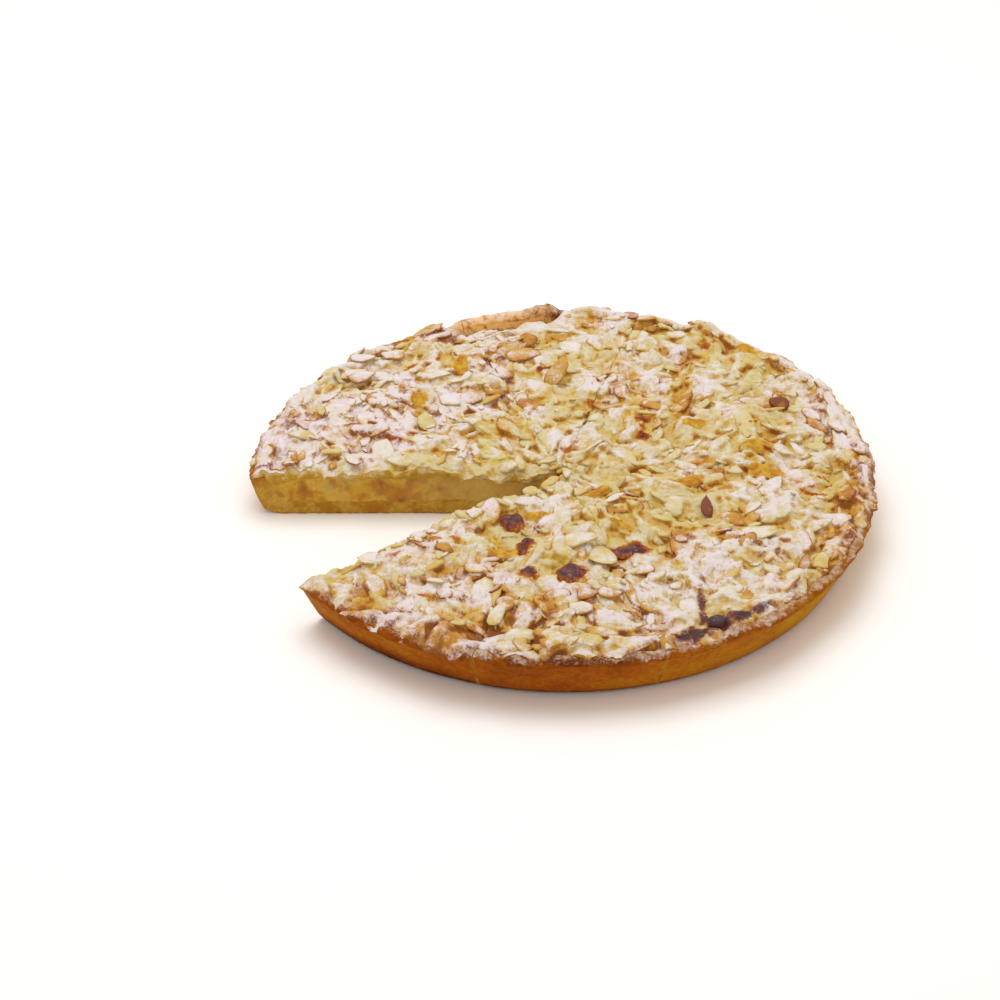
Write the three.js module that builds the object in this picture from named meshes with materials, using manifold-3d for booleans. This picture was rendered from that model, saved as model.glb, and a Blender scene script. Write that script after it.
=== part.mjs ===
// Apple tart with flaked almonds, baked whole, cut into ten slices, with one slice taken out.
// Millimetres, +Z up. The origin is the middle of the flat underside, and +Y is the far side of the tart.
// Each slice is a wedge of three layers: a pastry shell, the apple filling and the almond topping.
import * as THREE from "three";
import { mergeVertices } from "three/addons/utils/BufferGeometryUtils.js";
import Module from "manifold-3d";

// Pastry shell
const TART_RADIUS = 140; // outer edge of the pastry rim
const BASE_RADIUS = 129; // the tin is narrower at its base
const RIM_HEIGHT = 23.5;
const BASE_THICKNESS = 7;
const WALL_THICKNESS = 6.5;
const BASE_CORNER = 2.5; // rounding where the wall meets the base
const RIM_ROUND = 2.2; // depth of the rounding along the rim's top
const RIM_WAVES = [
  { count: 5, height: 0.42, phase: 1 },
  { count: 13, height: 0.28, phase: 2 },
]; // how the baked rim rises and falls
const WAVE_FADE = 4; // power of the height by which a wave dies out towards the base

// Filling and topping: both stand highest on a ring well inside the rim
const CREST_RADIUS = 90;
const FILLING_TOP = { middle: 17.5, crest: 20, edge: 16.5 };
const BATTER_TOP = { middle: 25, crest: 27.6, edge: 24 };
const FILLING_RINGS = [0, 0.35, 0.65, 0.82, 1]; // share of the filling's own radius
const LAYER_GAP = 0.3;
const OVERHANG = 1.2; // how far the batter runs out over a covered rim and draws back from it
const OVERHANG_WAVES = 9;
const LEAST_COVER = 1.4; // of batter over the rim
const EDGE_DROP = 1; // how far the batter's edge hangs below the rim's top
const EDGE_ROUND = 0.6; // height of the batter's outermost ring, as a share of the full height there
const BARE_SETBACK = 2; // from the wall's inside to the batter, where the rim is bare
const BARE_RIMS = [
  { middle: 312, half: 34 },
  { middle: 112, half: 18 },
]; // degrees along the rim
const BARE_SHARE = 0.45; // of each half that is wholly bare

// Lumps of the batter: plane waves, each shorter and turned by the golden angle
const LONGEST_LUMP = 64;
const LUMP_COUNT = 6;
const LUMP_SHRINK = 0.72;
const LUMP_HEIGHT = 0.013; // of a wave's length
const GOLDEN_ANGLE = Math.PI * (3 - Math.sqrt(5));

// Flaked almonds, the largest of those on the tart
const FLAKES = 130;
const FLAKE_INSET = 7; // how far a flake's middle keeps from the batter's edge
const FLAKE_LENGTH = [14, 20];
const FLAKE_ASPECT = [0.58, 0.7];
const FLAKE_TAPER = 0.3; // how much slimmer one end is than the other
const FLAKE_THICKNESS = 1.1;
const FLAKE_SIDES = 8;
const FLAKE_TILT = 0.28; // steepest pitch and roll, in radians
const FLAKE_DRIFT = 6; // how far a flake strays from its place in the spiral
const RIM_FLAKES = 0.82; // share of the flakes, from the middle out, past which they lie along the rim
const FLAKE_LIFT = [0.5, 1.5]; // height of a flake's middle over the batter

// Knife cuts
const SLICE_ANGLE = 36;
const FIRST_CUT = 218; // the cut on the near side of the gap, in degrees from +X
const CUT_DRIFT = [0.4, 1.5, -1.5, 0, 0, 0, 0.6, 1.6, 0, -0.3]; // hand-cut unevenness, in degrees
const KERF = 0.9;
const KNIFE_REACH = 220;
const KNIFE_BELOW = 15;
const KNIFE_HEIGHT = 60;

// Facets
const SHELL_TURNS = 72;
const BATTER_TURNS = 54;
const BATTER_RINGS = 9;
const CURVE_STEPS = 3;
const MERGE_DISTANCE = 1e-3;
const HASH = [12.9898, 78.233, 43758.5453]; // of the repeatable draws

const wasm = await Module();
wasm.setup();

const mix = (low, high, share) => low + (high - low) * share;
const radians = THREE.MathUtils.degToRad;

// A repeatable number from 0 to 1 for item n, with a different series for each salt.
function draw(n, salt) {
  const wave = Math.sin(n * HASH[0] + salt * HASH[1]) * HASH[2];
  return wave - Math.floor(wave);
}

// A closed geometry as a solid: only its positions count, shared vertices are merged.
function solid(geometry) {
  const bare = new THREE.BufferGeometry();
  bare.setAttribute("position", geometry.getAttribute("position"));
  bare.setIndex(geometry.index);
  const merged = mergeVertices(bare, MERGE_DISTANCE);
  return new wasm.Manifold(
    new wasm.Mesh({
      numProp: 3,
      vertProperties: new Float32Array(merged.getAttribute("position").array),
      triVerts: new Uint32Array(merged.index.array),
    }),
  );
}

// A solid back as a geometry with flat faces.
function geometryOf(made) {
  const mesh = made.getMesh();
  const geometry = new THREE.BufferGeometry();
  geometry.setAttribute("position", new THREE.BufferAttribute(mesh.vertProperties, 3));
  geometry.setIndex(new THREE.BufferAttribute(mesh.triVerts, 1));
  const flat = geometry.toNonIndexed();
  flat.computeVertexNormals();
  return flat;
}

// The largest body of a solid: crumbs that a cut sets loose are dropped and sealed hollows are filled.
function largestBody(made) {
  return made.decompose().reduce((a, b) => (b.volume() > a.volume() ? b : a));
}

// The largest body again after its vertices are merged, which parts what hangs on by a thread.
const soundBody = (made) => largestBody(solid(geometryOf(largestBody(made))));

// A profile of radius and height turned about +Z, each vertex then moved by shape(radius, angle, height).
function turned(profile, turns, shape) {
  const geometry = new THREE.LatheGeometry(profile, turns).rotateX(Math.PI / 2);
  const place = geometry.getAttribute("position");
  for (let i = 0; i < place.count; i++) {
    const radius = Math.hypot(place.getX(i), place.getY(i));
    const angle = Math.atan2(place.getY(i), place.getX(i));
    const moved = shape(radius, angle, place.getZ(i));
    place.setXYZ(i, moved.radius * Math.cos(angle), moved.radius * Math.sin(angle), moved.height);
  }
  return solid(geometry);
}

// The rim of the shell rises and falls a little round the tart.
function rimWave(angle) {
  return RIM_WAVES.reduce((sum, wave) => sum + wave.height * Math.sin(wave.count * angle + wave.phase), 0);
}

const wallOutside = (height) => mix(BASE_RADIUS, TART_RADIUS, height / RIM_HEIGHT);
const wallInside = (height) => wallOutside(height) - WALL_THICKNESS;

// The pastry shell: a flat base and a wall that leans out to a rounded rim.
// Grown, it is the room that the other layers leave round it.
function pastryShell(grow = 0) {
  const floor = BASE_THICKNESS + grow;
  const rim = RIM_HEIGHT + grow;
  const rimInside = wallInside(RIM_HEIGHT) - grow;
  const rimOutside = TART_RADIUS + grow;
  const rimMiddle = (rimInside + rimOutside) / 2;
  const shoulder = RIM_HEIGHT - RIM_ROUND;
  const profile = new THREE.Path()
    .moveTo(0, -grow)
    .lineTo(BASE_RADIUS - BASE_CORNER, -grow)
    .quadraticCurveTo(BASE_RADIUS + grow, -grow, wallOutside(BASE_CORNER) + grow, BASE_CORNER)
    .lineTo(wallOutside(shoulder) + grow, shoulder)
    .quadraticCurveTo(rimOutside, rim, rimMiddle, rim)
    .quadraticCurveTo(rimInside, rim, wallInside(shoulder) - grow, shoulder)
    .lineTo(wallInside(floor) - grow, floor)
    .lineTo(0, floor);
  return turned(profile.getPoints(CURVE_STEPS), SHELL_TURNS, (radius, angle, height) => ({
    radius,
    height: height + rimWave(angle) * Math.max(0, height / RIM_HEIGHT) ** WAVE_FADE,
  }));
}

// Level of a layer that stands highest on the crest and lower at the middle and the rim.
function crestedLevel(top, radius) {
  if (radius < CREST_RADIUS) {
    return mix(top.middle, top.crest, THREE.MathUtils.smoothstep(radius, 0, CREST_RADIUS));
  }
  return mix(top.crest, top.edge, THREE.MathUtils.smoothstep(radius, CREST_RADIUS, TART_RADIUS));
}

// The line between filling and batter, from the rim to the middle, as radius and height.
function fillingTopLine(lift) {
  const reach = wallInside(FILLING_TOP.edge) - LAYER_GAP;
  return FILLING_RINGS.map((share) => {
    const radius = share * reach;
    return new THREE.Vector2(radius, crestedLevel(FILLING_TOP, radius) + lift);
  }).reverse();
}

// The apple filling: a layer that fills the shell from its floor up.
function appleFilling() {
  const floor = BASE_THICKNESS + LAYER_GAP;
  const profile = [
    new THREE.Vector2(0, floor),
    new THREE.Vector2(wallInside(floor) - LAYER_GAP, floor),
    ...fillingTopLine(0),
  ];
  return turned(profile, BATTER_TURNS, (radius, angle, height) => ({ radius, height }));
}

// Height of the batter's lumps at a place on the top.
function lumps(x, y) {
  let height = 0;
  for (let i = 0; i < LUMP_COUNT; i++) {
    const length = LONGEST_LUMP * LUMP_SHRINK ** i;
    const heading = GOLDEN_ANGLE * i;
    const along = x * Math.cos(heading) + y * Math.sin(heading);
    height += LUMP_HEIGHT * length * Math.sin((2 * Math.PI * along) / length + i);
  }
  return height;
}

// Level of the batter at a place on the top.
function batterLevel(x, y) {
  return crestedLevel(BATTER_TOP, Math.hypot(x, y)) + lumps(x, y);
}

// The angle between two directions, from 0 to half a turn.
const angleBetween = (a, b) => Math.acos(Math.cos(a - b));

// 1 where the batter covers the rim, 0 in the middle of a stretch where the rim is bare.
function rimCover(angle) {
  return BARE_RIMS.reduce((cover, bare) => {
    const share = angleBetween(angle, radians(bare.middle)) / radians(bare.half);
    return cover * THREE.MathUtils.smoothstep(share, BARE_SHARE, 1);
  }, 1);
}

// Outer edge of the batter at an angle.
function batterEdge(angle) {
  const bare = wallInside(RIM_HEIGHT) - BARE_SETBACK;
  return mix(bare, TART_RADIUS + OVERHANG * Math.sin(OVERHANG_WAVES * angle), rimCover(angle));
}

// The batter without its almonds: on the filling below, lumpy above, rounded off at its outer edge.
function batter() {
  const edgeBelow = RIM_HEIGHT - EDGE_DROP;
  const profile = [...fillingTopLine(LAYER_GAP).reverse(), new THREE.Vector2(TART_RADIUS, edgeBelow)];
  for (let ring = BATTER_RINGS; ring >= 0; ring--) {
    profile.push(new THREE.Vector2((TART_RADIUS * ring) / BATTER_RINGS, RIM_HEIGHT));
  }
  return turned(profile, BATTER_TURNS, (radius, angle, height) => {
    if (height < edgeBelow) return { radius, height };
    const moved = (radius / TART_RADIUS) * batterEdge(angle);
    if (height < RIM_HEIGHT) return { radius: moved, height };
    const free = batterLevel(moved * Math.cos(angle), moved * Math.sin(angle));
    const overRim = moved > wallInside(RIM_HEIGHT) - WALL_THICKNESS;
    const level = overRim ? Math.max(free, RIM_HEIGHT + rimWave(angle) + LEAST_COVER) : free;
    const outermost = radius > TART_RADIUS - MERGE_DISTANCE;
    return { radius: moved, height: outermost ? mix(edgeBelow, level, EDGE_ROUND) : level };
  });
}

// The outline of one flaked almond: an oval, narrower towards its tip.
function flakeOutline(length, width) {
  const outline = new THREE.Shape();
  for (let side = 0; side < FLAKE_SIDES; side++) {
    const turn = (2 * Math.PI * side) / FLAKE_SIDES;
    const across = (width / 2) * Math.sin(turn) * (1 - FLAKE_TAPER * Math.cos(turn));
    const point = [(length / 2) * Math.cos(turn), across];
    if (side === 0) outline.moveTo(...point);
    else outline.lineTo(...point);
  }
  return outline;
}

// Flaked almond n: at its place in a sunflower spiral over the top, turned, tilted and half sunk in.
function almondFlake(n) {
  const share = (n + 0.5) / FLAKES;
  const spiral = n * GOLDEN_ANGLE;
  const radius = Math.sqrt(share) * (batterEdge(spiral) - FLAKE_INSET) - FLAKE_DRIFT * draw(n, 1);
  const angle = spiral + (FLAKE_DRIFT * (draw(n, 2) - 0.5)) / Math.max(radius, FLAKE_DRIFT);
  const [x, y] = [radius * Math.cos(angle), radius * Math.sin(angle)];
  const heading = share > RIM_FLAKES ? angle + Math.PI / 2 + draw(n, 7) - 0.5 : 2 * Math.PI * draw(n, 7);
  const length = mix(...FLAKE_LENGTH, draw(n, 3));
  const width = length * mix(...FLAKE_ASPECT, draw(n, 4));
  const geometry = new THREE.ExtrudeGeometry(flakeOutline(length, width), {
    depth: FLAKE_THICKNESS,
    bevelEnabled: false,
  });
  const pitch = FLAKE_TILT * (2 * draw(n, 5) - 1);
  const roll = FLAKE_TILT * (2 * draw(n, 6) - 1);
  const turn = new THREE.Euler(roll, pitch, heading, "ZYX");
  const level = batterLevel(x, y) + mix(...FLAKE_LIFT, draw(n, 8));
  geometry.translate(0, 0, -FLAKE_THICKNESS / 2);
  geometry.applyMatrix4(new THREE.Matrix4().makeRotationFromEuler(turn).setPosition(x, y, level));
  return solid(geometry);
}

// The almond topping: batter with the flakes fused to it, kept clear of the pastry rim.
function almondTopping() {
  let made = batter();
  for (let n = 0; n < FLAKES; n++) made = made.add(almondFlake(n));
  return made.subtract(pastryShell(LAYER_GAP));
}

const cutAngle = (cut) => radians(FIRST_CUT + SLICE_ANGLE * cut + CUT_DRIFT[cut]);

// The room of one slice: a tall wedge between two knife cuts, half a kerf inside each.
function sliceRoom(cut) {
  const start = cutAngle(cut);
  const end = cutAngle(cut + 1);
  const middle = (start + end) / 2;
  const tip = KERF / 2 / Math.sin((end - start) / 2);
  const [tipX, tipY] = [tip * Math.cos(middle), tip * Math.sin(middle)];
  const outline = new THREE.Shape()
    .moveTo(tipX, tipY)
    .lineTo(tipX + KNIFE_REACH * Math.cos(start), tipY + KNIFE_REACH * Math.sin(start))
    .lineTo(tipX + KNIFE_REACH * Math.cos(end), tipY + KNIFE_REACH * Math.sin(end));
  const geometry = new THREE.ExtrudeGeometry(outline, { depth: KNIFE_HEIGHT, bevelEnabled: false });
  return solid(geometry.translate(0, 0, -KNIFE_BELOW));
}

const layers = [
  {
    name: "crust",
    whole: pastryShell(),
    material: new THREE.MeshStandardMaterial({ color: 0xc8842e, roughness: 0.75, metalness: 0 }),
  },
  {
    name: "filling",
    whole: appleFilling(),
    material: new THREE.MeshStandardMaterial({ color: 0xd9c477, roughness: 0.45, metalness: 0 }),
  },
  {
    name: "topping",
    whole: almondTopping(),
    material: new THREE.MeshStandardMaterial({ color: 0xeadcb4, roughness: 0.8, metalness: 0 }),
  },
];

const tart = new THREE.Group();
tart.name = "apple_tart";
for (let cut = 0; cut + 1 < CUT_DRIFT.length; cut++) {
  const slice = new THREE.Group();
  slice.name = `slice_${cut + 1}`;
  const room = sliceRoom(cut);
  for (const layer of layers) {
    const mesh = new THREE.Mesh(geometryOf(soundBody(layer.whole.intersect(room))), layer.material);
    mesh.name = `${layer.name}_${cut + 1}`;
    slice.add(mesh);
  }
  tart.add(slice);
}

export default tart;
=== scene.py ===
import itertools

import bpy
import numpy as np
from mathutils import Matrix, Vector


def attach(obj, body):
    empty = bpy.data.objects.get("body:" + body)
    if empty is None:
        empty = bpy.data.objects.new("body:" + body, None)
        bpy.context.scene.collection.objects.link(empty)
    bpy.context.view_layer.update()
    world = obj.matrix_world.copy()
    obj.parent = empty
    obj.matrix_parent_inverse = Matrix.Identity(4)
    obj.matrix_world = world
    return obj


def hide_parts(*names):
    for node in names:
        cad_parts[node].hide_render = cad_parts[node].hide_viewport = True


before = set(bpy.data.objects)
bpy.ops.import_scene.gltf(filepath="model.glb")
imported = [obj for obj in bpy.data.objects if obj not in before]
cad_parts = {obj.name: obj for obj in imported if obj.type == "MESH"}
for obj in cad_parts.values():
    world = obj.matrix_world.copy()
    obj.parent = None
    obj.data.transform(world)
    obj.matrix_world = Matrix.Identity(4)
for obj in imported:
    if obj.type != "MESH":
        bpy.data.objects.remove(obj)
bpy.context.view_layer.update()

# Pastry shell: shortcrust pressed into a tin that widens upwards and baked golden, with a rounded rim.
# The knife cuts it with the rest of the tart, so each slice has its own stretch of base and wall,
# browned on the outside and an open crumb where it is cut, painted darker and warmer than its own pale
# cream as shade in the gap.
MM = 0.001
TART_RADIUS = 140.0
BASE_RADIUS = 129.0
RIM_HEIGHT = 23.5
BASE_THICKNESS = 7.0
WALL_THICKNESS = 6.5
BASE_CORNER = 2.5
RIM_ROUND = 2.2
RIM_SHOULDER = RIM_HEIGHT - RIM_ROUND
RIM_CAP_TURN = 1.3  # radians of the rim's rounding before its narrow flat top
RIM_WAVES = [(5, 0.42, 1), (13, 0.28, 2)]  # count round the tart, height, phase
COVERED_DIP = 1.8  # of the rim under the batter
SIDE_BULGE = 1.5  # of the rim at the back on the right
LEFT_SWELL = 4.0  # of the wall beside the gap
# Stretches round the tart, each a middle and a half width in degrees, counter-clockwise from the right.
FRONT, FRONT_LEFT, LEFT, BACK_RIGHT = (268, 28), (234, 18), (178, 12), (33, 12)
BARE_BACK, LIT_BACK_RIM, CHARRED = (103, 12), (106, 14), (92, 5)
RIM_RISES = [(93, 4, 5.0), (103, 10, 3.0), (124, 8, 1.2), (45, 34, 2.5)]  # middle, half, rise
RIM_SUGAR = [(270, 14, -0.25), (290, 8, 0.25), (104, 14, 0.1)]  # middle, half, more or less of it
# Where the rim is bare: middle, half, dip of the topping beside it, reach of the batter onto the rim.
BARE_RIMS = [(272, 22, -1.0, 1.4), (318, 31, -1.4, 3.4), (103, 12.5, 8.0, -1.6)]
BARE_SHARE = 0.68  # of such a stretch, before the batter eases over the rim
FIRST_CUT = 218.0  # degrees, the cut on the near side of the gap
SLICE_ANGLE = 36.0
CUT_DRIFT = [0.4, 1.5, -1.5, 0, 0, 0, 0.6, 1.6, 0, -0.3]  # of each cut from its even place
CUTS = np.radians([FIRST_CUT + SLICE_ANGLE * cut + drift for cut, drift in enumerate(CUT_DRIFT)])
SLICES = range(1, len(CUTS))
GAP_SLICES = (1, len(CUTS) - 1)  # the two whose cut faces stand open
KNIFE_GAP = 0.12
CLOSED_CUT = 0.25  # share of a cut face's relief where two slices meet
TIP_RADIUS = 1.8
BASE_STEPS, OPEN_BASE_STEPS, WALL_STEPS, RIM_STEPS = 36, 110, 26, 8
ROUND_STEPS, DEPTH_STEPS = 145, 9
PASTRY_SKIN = [(0.0, (0.50, 0.27, 0.018)), (0.3, (0.45, 0.20, 0.007)), (0.55, (0.35, 0.088, 0.004)),
               (0.8, (0.19, 0.036, 0.003)), (1.0, (0.08, 0.016, 0.003))]
# Painted shade: the crumb is darker and more orange than the pastry's own pale cream, as shade and warm
# bounced light in the gap.
SHADED_PASTRY_CRUMB = [(0.44, 0.23, 0.022), (0.54, 0.33, 0.06)]
BAKED_BROWN = (0.36, 0.14, 0.012)
# Painted light: a pale tan brighter than the crust, laid on the inside of the rim at the back, which lies in
# shade.
PAINTED_LIGHT_TAN = (0.92, 0.55, 0.22)
SUGAR_ON_CRUST = (0.72, 0.58, 0.46)


def grain(x, y, z, size, seed):
    """Smooth noise from -1 to 1: a sine hash gives each corner of a lattice of cubes a number,
    and the eight corners round a point are blended with a quintic fade."""
    place = np.stack(np.broadcast_arrays(x, y, z), -1) / size
    cell = np.floor(place)
    share = place - cell
    share = share**3 * (share * (share * 6 - 15) + 10)
    total = 0
    for corner in itertools.product((0, 1), repeat=3):
        weight = np.prod(np.where(corner, share, 1 - share), -1)
        wave = np.sin((cell + corner) @ (127.1, 311.7, 74.7) + seed * 17.13) * 43758.5453
        total = total + weight * (wave - np.floor(wave))
    return 2 * total - 1


def rough(x, y, z, *layers):
    """The sum of several smooth noises, each with an amount, a size and a seed."""
    return sum(amount * grain(x, y, z, size, seed) for amount, size, seed in layers)


def smooth(value, low, high):
    """0 below low, 1 above high, with a cubic ease between them."""
    share = np.clip((value - low) / (high - low), 0, 1)
    return share * share * (3 - 2 * share)


def bell(angle, middle, half):
    """1 at an angle in degrees round the tart, falling off as a bell curve of the given half width."""
    away = np.arccos(np.cos(angle - np.radians(middle)))
    return np.exp(-((away / np.radians(half)) ** 2))


def box_skin(u, v, w, plain_floor=False):
    """The skin of a box of lattice points: the lattice values of each point that lies on it, and faces
    between neighbours on its six sides, all turned outwards, with edges shared. A plain floor is
    strips straight across, for a side that nothing shows of."""
    ids = np.arange(u.size * v.size * w.size).reshape(u.size, v.size, w.size)

    def sheet(side):
        return np.stack([side[:-1, :-1], side[1:, :-1], side[1:, 1:], side[:-1, 1:]], -1).reshape(-1, 4)

    floor = ids[:, :, 0]
    faces = [sheet(ids[:, :, -1]), sheet(ids[:, 0, :]), sheet(ids[:, -1, :])[:, ::-1],
             sheet(ids[-1, :, :]), sheet(ids[0, :, :])[:, ::-1]]
    if plain_floor:
        faces += [sheet(floor[:, [0, -1]])[:, ::-1], floor[-1:, ::-1], floor[:1]]
    else:
        faces += [sheet(floor)[:, ::-1]]
    used = np.unique(np.concatenate([face.ravel() for face in faces]))
    i, j, k = np.unravel_index(used, ids.shape)
    return [np.searchsorted(used, face) for face in faces], u[i], v[j], w[k]


def slice_point(number, radius, share):
    """The point at a distance from the tart's middle on a ray that leaves the slice's tip. The ray's
    heading runs from the slice's first cut (share 0) to its second (share 1), and its length
    follows from the triangle of middle, tip and point."""
    start, end = CUTS[number - 1], CUTS[number]
    middle = (start + end) / 2
    tip = KNIFE_GAP / 2 / np.sin((end - start) / 2)
    heading = start + (end - start) * share
    lean = tip * np.cos(heading - middle)
    reach = np.sqrt(lean**2 + radius**2 - tip**2) - lean
    return tip * np.cos(middle) + reach * np.cos(heading), tip * np.sin(middle) + reach * np.sin(heading)


def cut_relief(x, y, height):
    """How far a cut face dents in at a place: fine crumbs, pores and broad lumps. It is the same for
    every layer, so that they meet without a step."""
    return np.maximum(0.12 + rough(x, y, height, (0.25, 1.7, 6), (0.3, 4.5, 7), (0.3, 9, 11)), -0.05)


def push_cut_faces(number, x, y, share, depth):
    """Moves the points of a slice's two cut faces into the slice by a depth in millimetres, square to
    each cut, and by less where the cut is closed."""
    start, end = CUTS[number - 1], CUTS[number]
    first = depth * (share == 0) * (1 if number == GAP_SLICES[0] else CLOSED_CUT)
    second = depth * (share == 1) * (1 if number == GAP_SLICES[1] else CLOSED_CUT)
    return (x - first * np.sin(start) + second * np.sin(end),
            y + first * np.cos(start) - second * np.cos(end))


def new_piece(name, points, faces, marks, finish, crease=50):
    """Makes a mesh from points in millimetres and arrays of faces, with a number at each point for
    each mark, smooth but for edges that turn more than the crease in degrees."""
    mesh = bpy.data.meshes.new(name)
    mesh.vertices.add(len(points))
    mesh.vertices.foreach_set("co", np.ravel(points * MM))
    corners = np.concatenate([face.ravel() for face in faces])
    sides = np.concatenate([np.full(len(face), face.shape[1]) for face in faces])
    mesh.loops.add(corners.size)
    mesh.loops.foreach_set("vertex_index", corners)
    mesh.polygons.add(sides.size)
    mesh.polygons.foreach_set("loop_start", np.cumsum(sides) - sides)
    mesh.update(calc_edges=True)
    mesh.shade_smooth()
    mesh.set_sharp_from_angle(angle=np.radians(crease))
    for mark, values in marks.items():
        mesh.attributes.new(mark, "FLOAT", "POINT").data.foreach_set("value", np.ravel(values))
    mesh.materials.append(finish)
    piece = bpy.data.objects.new(name, mesh)
    bpy.context.collection.objects.link(piece)
    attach(piece, "root")
    return piece


class Finish:
    """A material as it is mixed: each call adds one node and gives its output, with numbers, colours
    or other outputs for its inputs. Sizes are in millimetres of the object's own space."""

    def __init__(self, name, **constants):
        self.material = bpy.data.materials.new(name)
        self.material.use_nodes = True
        self.tree = self.material.node_tree
        self.shader = self.tree.nodes["Principled BSDF"]
        for socket, value in constants.items():
            self.shader.inputs[socket.replace("_", " ")].default_value = value
        self.place = self.node("TexCoord", {}).outputs["Object"]

    def node(self, kind, inputs, **settings):
        made = self.tree.nodes.new("ShaderNode" + kind)
        for setting, value in settings.items():
            setattr(made, setting, value)
        for socket, value in inputs.items():
            if isinstance(value, bpy.types.NodeSocket):
                self.tree.links.new(value, made.inputs[socket])
            else:
                made.inputs[socket].default_value = value
        return made

    def mark(self, name):
        return self.node("Attribute", {}, attribute_name=name).outputs["Fac"]

    def noise(self, size, detail=2.0, rough=0.5):
        inputs = {"Vector": self.place, "Scale": 1 / (size * MM), "Detail": detail, "Roughness": rough}
        return self.node("TexNoise", inputs).outputs["Fac"]

    def add(self, first, *others):
        for other in others:
            first = self.node("Math", {0: first, 1: other}, operation="ADD").outputs[0]
        return first

    def times(self, a, b):
        return self.node("Math", {0: a, 1: b}, operation="MULTIPLY").outputs[0]

    def ease(self, value, low, high, start=0.0, end=1.0):
        inputs = {"Value": value, "From Min": low, "From Max": high, "To Min": start, "To Max": end}
        return self.node("MapRange", inputs, interpolation_type="SMOOTHSTEP").outputs[0]

    def spread(self, noise, start, end):
        """A noise, which keeps mostly between 0.3 and 0.7, spread out from one number to another."""
        return self.ease(noise, 0.3, 0.7, start, end)

    def blend(self, share, a, b):
        a, b = (value if isinstance(value, bpy.types.NodeSocket) else (*value, 1) for value in (a, b))
        return self.node("Mix", {0: share, 6: a, 7: b}, data_type="RGBA").outputs[2]

    def ramp(self, value, stops):
        made = self.node("ValToRGB", {"Fac": value})
        elements = made.color_ramp.elements
        for place, _ in stops[1:-1]:
            elements.new(place)
        for element, (_, colour) in zip(elements, stops):
            element.color = (*colour, 1)
        return made.outputs[0]

    def facing_up(self):
        normal = self.node("NewGeometry", {}).outputs["Normal"]
        return self.node("SeparateXYZ", {0: normal}).outputs[2]

    def bump(self, height, depth, under=None):
        inputs = {"Height": height, "Strength": 1.0, "Distance": depth * MM}
        if under is not None:
            inputs["Normal"] = under
        return self.node("Bump", inputs).outputs[0]

    def wire(self, **outputs):
        for socket, output in outputs.items():
            self.tree.links.new(output, self.shader.inputs[socket.replace("_", " ")])
        return self.material


def sugar_dust(finish):
    """Icing sugar as a share from 0 to 1: on faces that look up, as thick as the mark sugar says,
    and broken into grains."""
    grains = finish.spread(finish.noise(1.1, 2, 0.6), -0.18, 0.18)
    up = finish.ease(finish.add(finish.facing_up(), grains), 0.45, 0.93)
    clumps = finish.spread(finish.noise(3.5), -0.3, 0.3)
    drift = finish.add(finish.mark("sugar"), finish.add(grains, clumps))
    return finish.times(up, finish.ease(drift, -0.05, 1.15, 0, 0.88))


def baked_pastry():
    """Golden to brown by the baking mark, with painted shade at the wall's foot, a crumb painted darker than
    its own cream by the depth under the skin, a paler tan at the back rim as painted light, sugar on the rim.
    """
    finish = Finish("baked_pastry", Roughness=0.65, Specular_IOR_Level=0.03)
    fine = finish.noise(2.2, 4, 0.6)
    skin = finish.ramp(finish.add(finish.mark("bake_and_shade"), finish.spread(fine, -0.08, 0.08)), PASTRY_SKIN)
    # The crumb, painted darker than its own cream as shade in the gap.
    pores = finish.ease(finish.noise(1.3, 3, 0.65), 0.35, 0.6)
    crumb = finish.blend(pores, *SHADED_PASTRY_CRUMB)
    browned = finish.ease(finish.noise(9, 3, 0.6), 0.42, 0.65, 0, 0.85)
    crumb = finish.blend(browned, crumb, BAKED_BROWN)
    depth = finish.add(finish.mark("depth"), finish.spread(finish.noise(1.8), -0.45, 0.45))
    colour = finish.blend(finish.ease(depth, 0.25, 1.0), skin, crumb)
    pale_edge = finish.ease(finish.add(finish.mark("edge"), fine), 1.5, 0.7)
    colour = finish.blend(finish.times(pale_edge, 0.6), colour, crumb)
    # Painted light: the shaded inside of the rim at the back is brightened to a pale tan.
    painted_light = finish.times(finish.mark("painted_light"), finish.spread(finish.noise(5, 4, 0.65), 0.2, 1.5))
    colour = finish.blend(finish.ease(painted_light, 0.2, 0.95, 0, 0.9), colour, PAINTED_LIGHT_TAN)
    colour = finish.blend(sugar_dust(finish), colour, SUGAR_ON_CRUST)
    crags = finish.times(finish.noise(1.5, 3, 0.7), finish.mark("crags"))
    bump = finish.bump(fine, 0.4, finish.bump(crags, 1.6, finish.bump(finish.noise(0.7), 0.15)))
    return finish.wire(Base_Color=colour, Normal=bump)


def wall_outside(height):
    return BASE_RADIUS + (TART_RADIUS - BASE_RADIUS) * height / RIM_HEIGHT


def wall_inside(height):
    return wall_outside(height) - WALL_THICKNESS


def bare_share(angle, middle, half):
    """1 in the middle of a stretch where the rim is bare, easing to 0 at its ends."""
    away = np.arccos(np.cos(angle - np.radians(middle))) / np.radians(half)
    return 1 - smooth(away, BARE_SHARE, 1)


def rim_cover(angle):
    """1 where the batter covers the rim, 0 in the middle of a stretch where the rim is bare."""
    return np.prod([1 - bare_share(angle, middle, half) for middle, half, _, _ in BARE_RIMS], 0)


def side_bulge(angle):
    """How far the rim stands out at the back on the right."""
    return SIDE_BULGE * bell(angle, *BACK_RIGHT)


def rim_wave(angle):
    """Rise and fall of the rim round the tart: a sum of two sine waves, lower under the batter, and the
    stretches at the back where the crust has risen, as bell curves."""
    wave = sum(height * np.sin(count * angle + phase) for count, height, phase in RIM_WAVES)
    wave = wave - COVERED_DIP * rim_cover(angle)
    return wave + sum(rise * bell(angle, middle, half) for middle, half, rise in RIM_RISES)


def base_wave(x, y):
    """Unevenness of the base's top, which fades out towards the wall."""
    return 0.8 * grain(x, y, 0, 9, 54) * smooth(-np.hypot(x, y), -wall_inside(BASE_THICKNESS), -100)


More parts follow.
